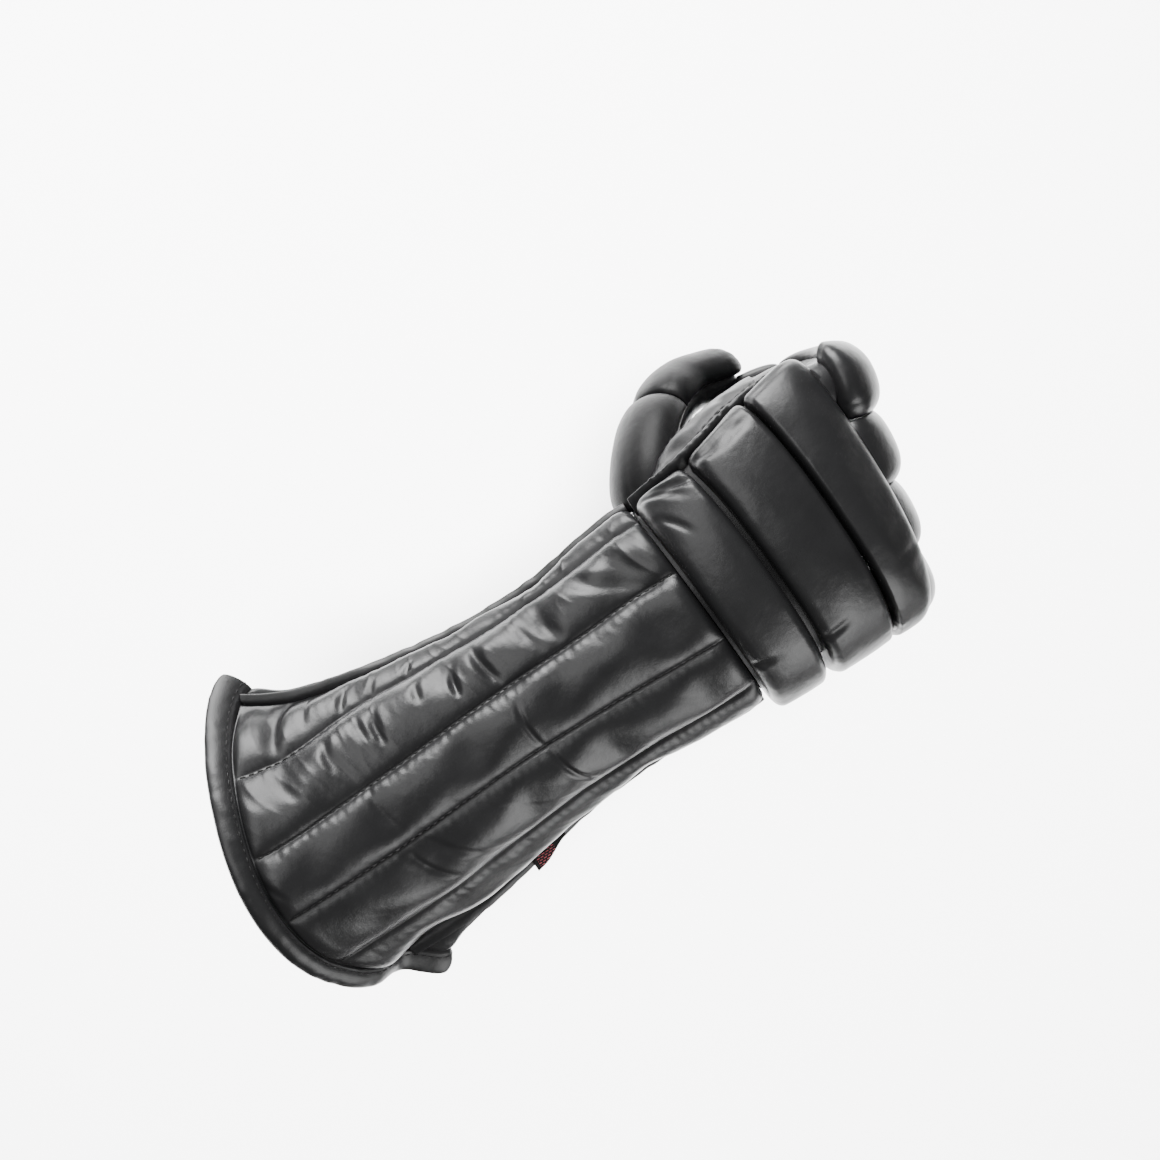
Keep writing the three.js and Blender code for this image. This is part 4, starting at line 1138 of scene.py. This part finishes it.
def back_pad(seam, tubes):
    """A pad across the back of the hand: a filled pillow between two seams, creased at its thumb end."""
    s = sizes()
    name = PAD_NAMES[seam]
    rows, columns = 132, 262
    even = np.linspace(0, 1, rows)
    share, across = spread(even - 0.1 * np.sin(2 * math.pi * even), np.linspace(0, 1, columns))
    along = between_seams(seam, share, across)
    top, puff = pad_height(seam, share, across)
    dents = creases(PAD_CREASES[name], along, across, s.palm_length, PADS_SPAN)
    drawn = 0.35 * MM * noise(across * 42, share * 2, 30 + seam) * np.exp(-np.minimum(share, 1 - share) / 0.12)
    uneven = 0.5 * MM * noise(across * 6, share * 2, 34 + seam)
    near = s.leather + s.seam_gap
    height = near + top - dents * puff + (drawn + uneven) * puff
    points, flipped = skirted(pad_point, along, across, height, near)
    a, c = spread(np.linspace(0, 1, 26), np.linspace(0, 1, 76))
    place = between_seams(seam, a, c)
    rest = near + pad_height(seam, a, c)[0] * 0.94
    sheet = pad_point(place, c, rest)
    held = (a < 0.05) | (a > 0.95) | (c < 0.02) | (c > 0.98)
    push = 2.0 if faces_out(sheet, pad_point(place, c, rest + MM)) else -2.0
    swell = billow(sheet, held, 0.008, push, 1.0 * MM)
    points[1:-1, 1:-1] += resample(swell, share[:, 0], across[0])
    points = clear_of(points, tubes)
    piece = grid_mesh("pad_" + name, [(points, False, flipped)])
    relief(piece, np.pad(puff - dents / MM * 0.2, 1))
    finish_piece(piece, made("pads"), "black_leather", "back_pad_" + name)


class GLOVE_OT_back_pads(bpy.types.Operator):
    """Builds the three pads across the back of the hand"""
    bl_idname = "glove.back_pads"
    bl_label = "Back pads"

    def execute(self, context):
        tubes = [finger_tube(name) for name in FINGERS]
        for seam in range(len(PAD_NAMES)):
            back_pad(seam, tubes)
        return {"FINISHED"}


# Fingers and thumb

def stall(name, tube, start, neighbours, node):
    """The leather tube of a finger or the thumb, from where it leaves the hand, with a seam along each side."""
    s = sizes()
    past_end = np.linspace(tube.length, tube.reach + 0.06 * tube.tip, 16)[1:]
    t = np.concatenate([np.linspace(start, tube.length, 90), past_end])
    along, turn = spread(t, np.linspace(0, 360, 61)[:-1])
    folds = 0.35 * MM * noise(along / (7 * MM), turn / 50, 40 + len(name))
    seam = 0.5 * MM * (np.exp(-((np.mod(turn + 90, 180) - 90) / 5) ** 2))
    points = tube.point(along, turn, s.leather + folds - seam)
    for other in neighbours:
        points = other.clear(points, s.leather + s.seam_gap)
    inner = tube.point(along, turn, 0 * along)
    tip = np.repeat(points[-1:].mean(1, keepdims=True), points.shape[1], 1)
    flipped = not faces_out(points, tube.point(along, turn, s.leather + MM))
    piece = grid_mesh(name, [(np.concatenate([points, tip]), True, flipped), (inner, True, not flipped)])
    return finish_piece(piece, made("palm"), "palm_leather", node)


def limb_pad(name, tube, row, loft, half_turn, neighbours, node, start=None, seed=0, room=None, hide="pads"):
    """A pad on the outer side of a finger or the thumb, pressed flat where it leaves its room."""
    s = sizes()
    first = row["start"] * tube.reach + s.seam_gap if start is None else start
    last = row["end"] * tube.reach - s.seam_gap
    share, across = spread(np.linspace(0, 1, 70), np.linspace(0, 1, 80))
    along = mix(first, last, share)
    puff = pillow(share, 0.3, 2.2) * pillow(across, 0.28, 2.2)
    if start is not None:
        puff = mix(pillow(share, 0.14, 2.2), puff, smoothstep(share, 0.15, 0.7))
    folds = 0.5 * MM * noise(share * 3 + seed, across * 4, 50 + seed)
    drawn = np.exp(-np.minimum(share, 1 - share) / 0.14)
    folds = folds + 0.9 * MM * (np.abs(noise(across * 9 + share * 2, share * 2, 60 + seed)) - 0.3) * drawn
    height = s.leather + s.seam_gap + mix(s.finger_edge, loft * row["loft"], puff) + folds * puff
    if start is not None:
        shoulder = np.sin(2 * np.radians(half_turn * (2 * across - 1))) ** 2
        on_thumb_side = (across < 0.5) == (side_of_first(point_of(tube, half_turn)) > 0)
        beside = np.where(on_thumb_side, room[1] < 1, room[0] > -1)
        shoulder = shoulder * beside * smoothstep(share, 0, 0.2) * (1 - smoothstep(share, 0.3, 0.75))
        height = height + 2.6 * MM * shoulder
    points, flipped = skirted(point_of(tube, half_turn), along, across, height, s.leather + s.seam_gap)
    for other in neighbours:
        points = other.clear(points, s.leather + s.seam_gap)
    if room:
        place = points @ knuckle_line()
        points = points + (np.clip(place, *room) - place)[..., None] * knuckle_line()
    piece = grid_mesh(name, [(points, False, flipped)])
    relief(piece, np.pad(puff, 1))
    finish_piece(piece, made(hide), "black_leather", node)


def knuckle_line():
    """The direction across the fingers, square to the way they point."""
    return unit(np.array([sizes().knuckle_slant, 1, 0]))


def rooms(tubes):
    """How far each finger's pads may reach along the knuckle line, up to halfway to the fingers beside it."""
    middles = [tube.line[-1] @ knuckle_line() for tube in tubes]
    halfway = [(a + b) / 2 for a, b in zip(middles, middles[1:])]
    gap = sizes().seam_gap / 2
    lows, highs = [*(h + gap for h in halfway), -1], [1, *(h - gap for h in halfway)]
    return list(zip(lows, highs))


def point_of(tube, half_turn):
    """Places on a limb's outer side: metres along it, and across it from 0 to 1."""
    return lambda along, across, out: tube.point(along, 90 + half_turn * (2 * across - 1), out)


def side_of_first(point):
    """Above 0 where a pad's first column lies on the thumb side."""
    first, last = (point(np.array([0.02]), np.array([c]), np.array([0.0]))[0] @ knuckle_line() for c in (0.0, 1.0))
    return first - last


def first_clear(tube, limit):
    """Where along a finger its centre passes a plane in front of the knuckle pad."""
    places = np.linspace(0, tube.length, 400)
    centre = tube.frames(places)[0]
    across = np.clip((centre[:, 1] / sizes().thumb_side + 1) / 2, 0, 1)
    front = limit(1 - across) * sizes().palm_length + PAD_SEAMS["gape"][-1] * MM
    return places[np.argmax(centre[:, 0] > front)]


class GLOVE_OT_fingers(bpy.types.Operator):
    """Builds the four finger stalls and their pads"""
    bl_idname = "glove.fingers"
    bl_label = "Fingers"

    def execute(self, context):
        s = sizes()
        tubes = {name: finger_tube(name) for name in FINGERS}
        thumb = thumb_tube()
        between = rooms(list(tubes.values()))
        for number, (name, tube) in enumerate(tubes.items()):
            others = [thumb, *(t for key, t in tubes.items() if key != name)]
            root = first_clear(tube, lambda across: hand_front(180 * across))
            stall("stall_" + name, tube, max(root, 0.1 * tube.length), others, name + "_stall")
            front = first_clear(tube, lambda across: seam_at(3, across))
            for key, row in FINGER_PADS.items():
                start = max(front, row["start"] * tube.reach) if key == "knuckle" else None
                limb_pad(f"pad_{name}_{key}", tube, row, s.finger_loft, FINGER_PAD_TURN, others,
                         f"{name}_pad_{key}", start, number * 3 + len(key), between[number])
        return {"FINISHED"}


class GLOVE_OT_thumb(bpy.types.Operator):
    """Builds the thumb's stall and its two pads"""
    bl_idname = "glove.thumb"
    bl_label = "Thumb"

    def execute(self, context):
        s = sizes()
        tube = thumb_tube()
        fingers = [finger_tube(name) for name in FINGERS]
        stall("stall_thumb", tube, 0.2 * tube.length, fingers, "thumb_stall")
        for number, (key, row) in enumerate(THUMB_PADS.items()):
            # The thumb's pads take the darker thumb leather, which is painted shade.
            limb_pad("pad_thumb_" + key, tube, row, s.thumb_loft, THUMB_PAD_TURN, fingers, "thumb_pad_" + key,
                     seed=20 + number, hide="thumb")
        return {"FINISHED"}


class GLOVE_OT_stitches(bpy.types.Operator):
    """Sews every noted line with thread"""
    bl_idname = "glove.stitches"
    bl_label = "Stitches"

    def execute(self, context):
        piece = grid_mesh("sewing_thread", ROWS_OF_STITCHES)
        piece.data.materials.append(made("thread"))
        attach(piece, "root")
        return {"FINISHED"}


# Stage

# The camera's turn and tilt in degrees, its distance in metres and the place in the middle of the picture.
VIEW = dict(turn=31.7, tilt=8.5, distance=0.720, middle=(-0.040, 0.036, 0))
# Softboxes: shares of the photograph's right, up and back, then metres away, metres wide, and watts.
SOFTBOXES = {
    "key_softbox": (-0.3, 1.0, 0.5, 1.2, 0.75, 40),
    "fill_softbox": (0.8, -0.8, 0.35, 1.5, 0.9, 17),
    "top_softbox": (-0.4, 0.1, 1.0, 1.7, 1.2, 13),
}


def view_axes():
    """The photograph's right, up and back directions."""
    theta, tilt = math.radians(VIEW["turn"]), math.radians(VIEW["tilt"])
    back = Vector((0, math.sin(tilt), math.cos(tilt)))
    along_y = Vector((0, math.cos(tilt), -math.sin(tilt)))
    along_x = Vector((1, 0, 0))
    right = along_x * math.cos(theta) - along_y * math.sin(theta)
    up = along_x * math.sin(theta) + along_y * math.cos(theta)
    return right, up, back


def place_camera():
    right, up, back = view_axes()
    data = bpy.data.cameras.new("photo_camera")
    data.sensor_width = 36
    data.lens = 49.16
    camera = bpy.data.objects.new("photo_camera", data)
    bpy.context.scene.collection.objects.link(camera)
    turned = Matrix((right, up, back)).transposed().to_4x4()
    camera.matrix_world = Matrix.Translation(Vector(VIEW["middle"]) + back * VIEW["distance"]) @ turned
    bpy.context.scene.camera = camera


def light(data, middle, direction, distance):
    """Hangs a light at a distance from a place and turns it to face it."""
    lamp = bpy.data.objects.new(data.name, data)
    bpy.context.scene.collection.objects.link(lamp)
    away = direction.normalized()
    lamp.location = Vector(middle) + away * distance
    lamp.rotation_mode = "QUATERNION"
    lamp.rotation_quaternion = away.to_track_quat("Z", "Y")
    return lamp


class GLOVE_OT_stage(bpy.types.Operator):
    """Adds the soft lights, a dim world and a pale floor"""
    bl_idname = "glove.stage"
    bl_label = "Stage"

    def execute(self, context):
        right, up, back = view_axes()
        for name, (rightward, upward, backward, distance, width, watts) in SOFTBOXES.items():
            data = bpy.data.lights.new(name, "AREA")
            data.shape = "SQUARE"
            data.size = width
            data.energy = watts
            light(data, (-0.04, 0.02, 0), right * rightward + up * upward + back * backward, distance)
        world = bpy.data.worlds.new("dim_studio")
        context.scene.world = world
        world.use_nodes = True
        background = next(n for n in world.node_tree.nodes if n.type == "BACKGROUND")
        feed(world.node_tree, background, {"Color": (1, 1, 1, 1), "Strength": 0.2})
        half, low = 3.0, -0.45
        corners = np.array([[[-half, -half, low], [half, -half, low]], [[-half, half, low], [half, half, low]]])
        floor = grid_mesh("floor", [(corners, False, False)])
        material, tree, surface, place = shader("matt_paper_sweep")
        tooth = add_node(tree, "ShaderNodeTexNoise", {"Vector": place, "Scale": 400.0})
        bump = add_node(tree, "ShaderNodeBump", {"Height": tooth.outputs["Fac"], "Strength": 0.05,
                                                "Distance": 0.2 * MM})
        feed(tree, surface, {"Base Color": (*looks().floor_colour, 1), "Roughness": 0.9,
                             "Normal": bump.outputs["Normal"]})
        floor.data.materials.append(material)
        only_floor = bpy.data.collections.new("lit_by_the_wash")
        only_floor.objects.link(floor)
        wash = bpy.data.lights.new("floor_wash", "SPOT")
        wash.energy = 2400
        wash.spot_size = math.radians(42)
        wash.spot_blend = 0.5
        wash.shadow_soft_size = 0.3
        light(wash, (-0.04, 0.036, 0), back, 2.4).light_linking.receiver_collection = only_floor
        return {"FINISHED"}


class GLOVE_PT_panel(bpy.types.Panel):
    """The glove's tools in the sidebar"""
    bl_label = "Fencing glove"
    bl_idname = "GLOVE_PT_panel"
    bl_space_type = "VIEW_3D"
    bl_region_type = "UI"
    bl_category = "Glove"

    def draw(self, context):
        for operator in OPERATORS:
            self.layout.operator(operator.bl_idname)
        for group in (context.scene.glove_sizes, context.scene.glove_looks):
            for name in group.bl_rna.properties.keys():
                if name not in ("rna_type", "name"):
                    self.layout.prop(group, name)


OPERATORS = (GLOVE_OT_gauntlet, GLOVE_OT_trim, GLOVE_OT_hand, GLOVE_OT_back_pads, GLOVE_OT_fingers,
             GLOVE_OT_thumb, GLOVE_OT_stitches, GLOVE_OT_stage)
CLASSES = (GloveSizes, GloveLooks, *OPERATORS, GLOVE_PT_panel)


def register():
    for cls in CLASSES:
        bpy.utils.register_class(cls)
    bpy.types.Scene.glove_sizes = PointerProperty(type=GloveSizes)
    bpy.types.Scene.glove_looks = PointerProperty(type=GloveLooks)


def unregister():
    del bpy.types.Scene.glove_looks
    del bpy.types.Scene.glove_sizes
    for cls in reversed(CLASSES):
        bpy.utils.unregister_class(cls)


def main():
    """Registers the add-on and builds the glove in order."""
    register()
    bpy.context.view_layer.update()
    place_camera()
    for operator in OPERATORS:
        group, name = operator.bl_idname.split(".")
        getattr(getattr(bpy.ops, group), name)()


if __name__ == "__main__":
    main()
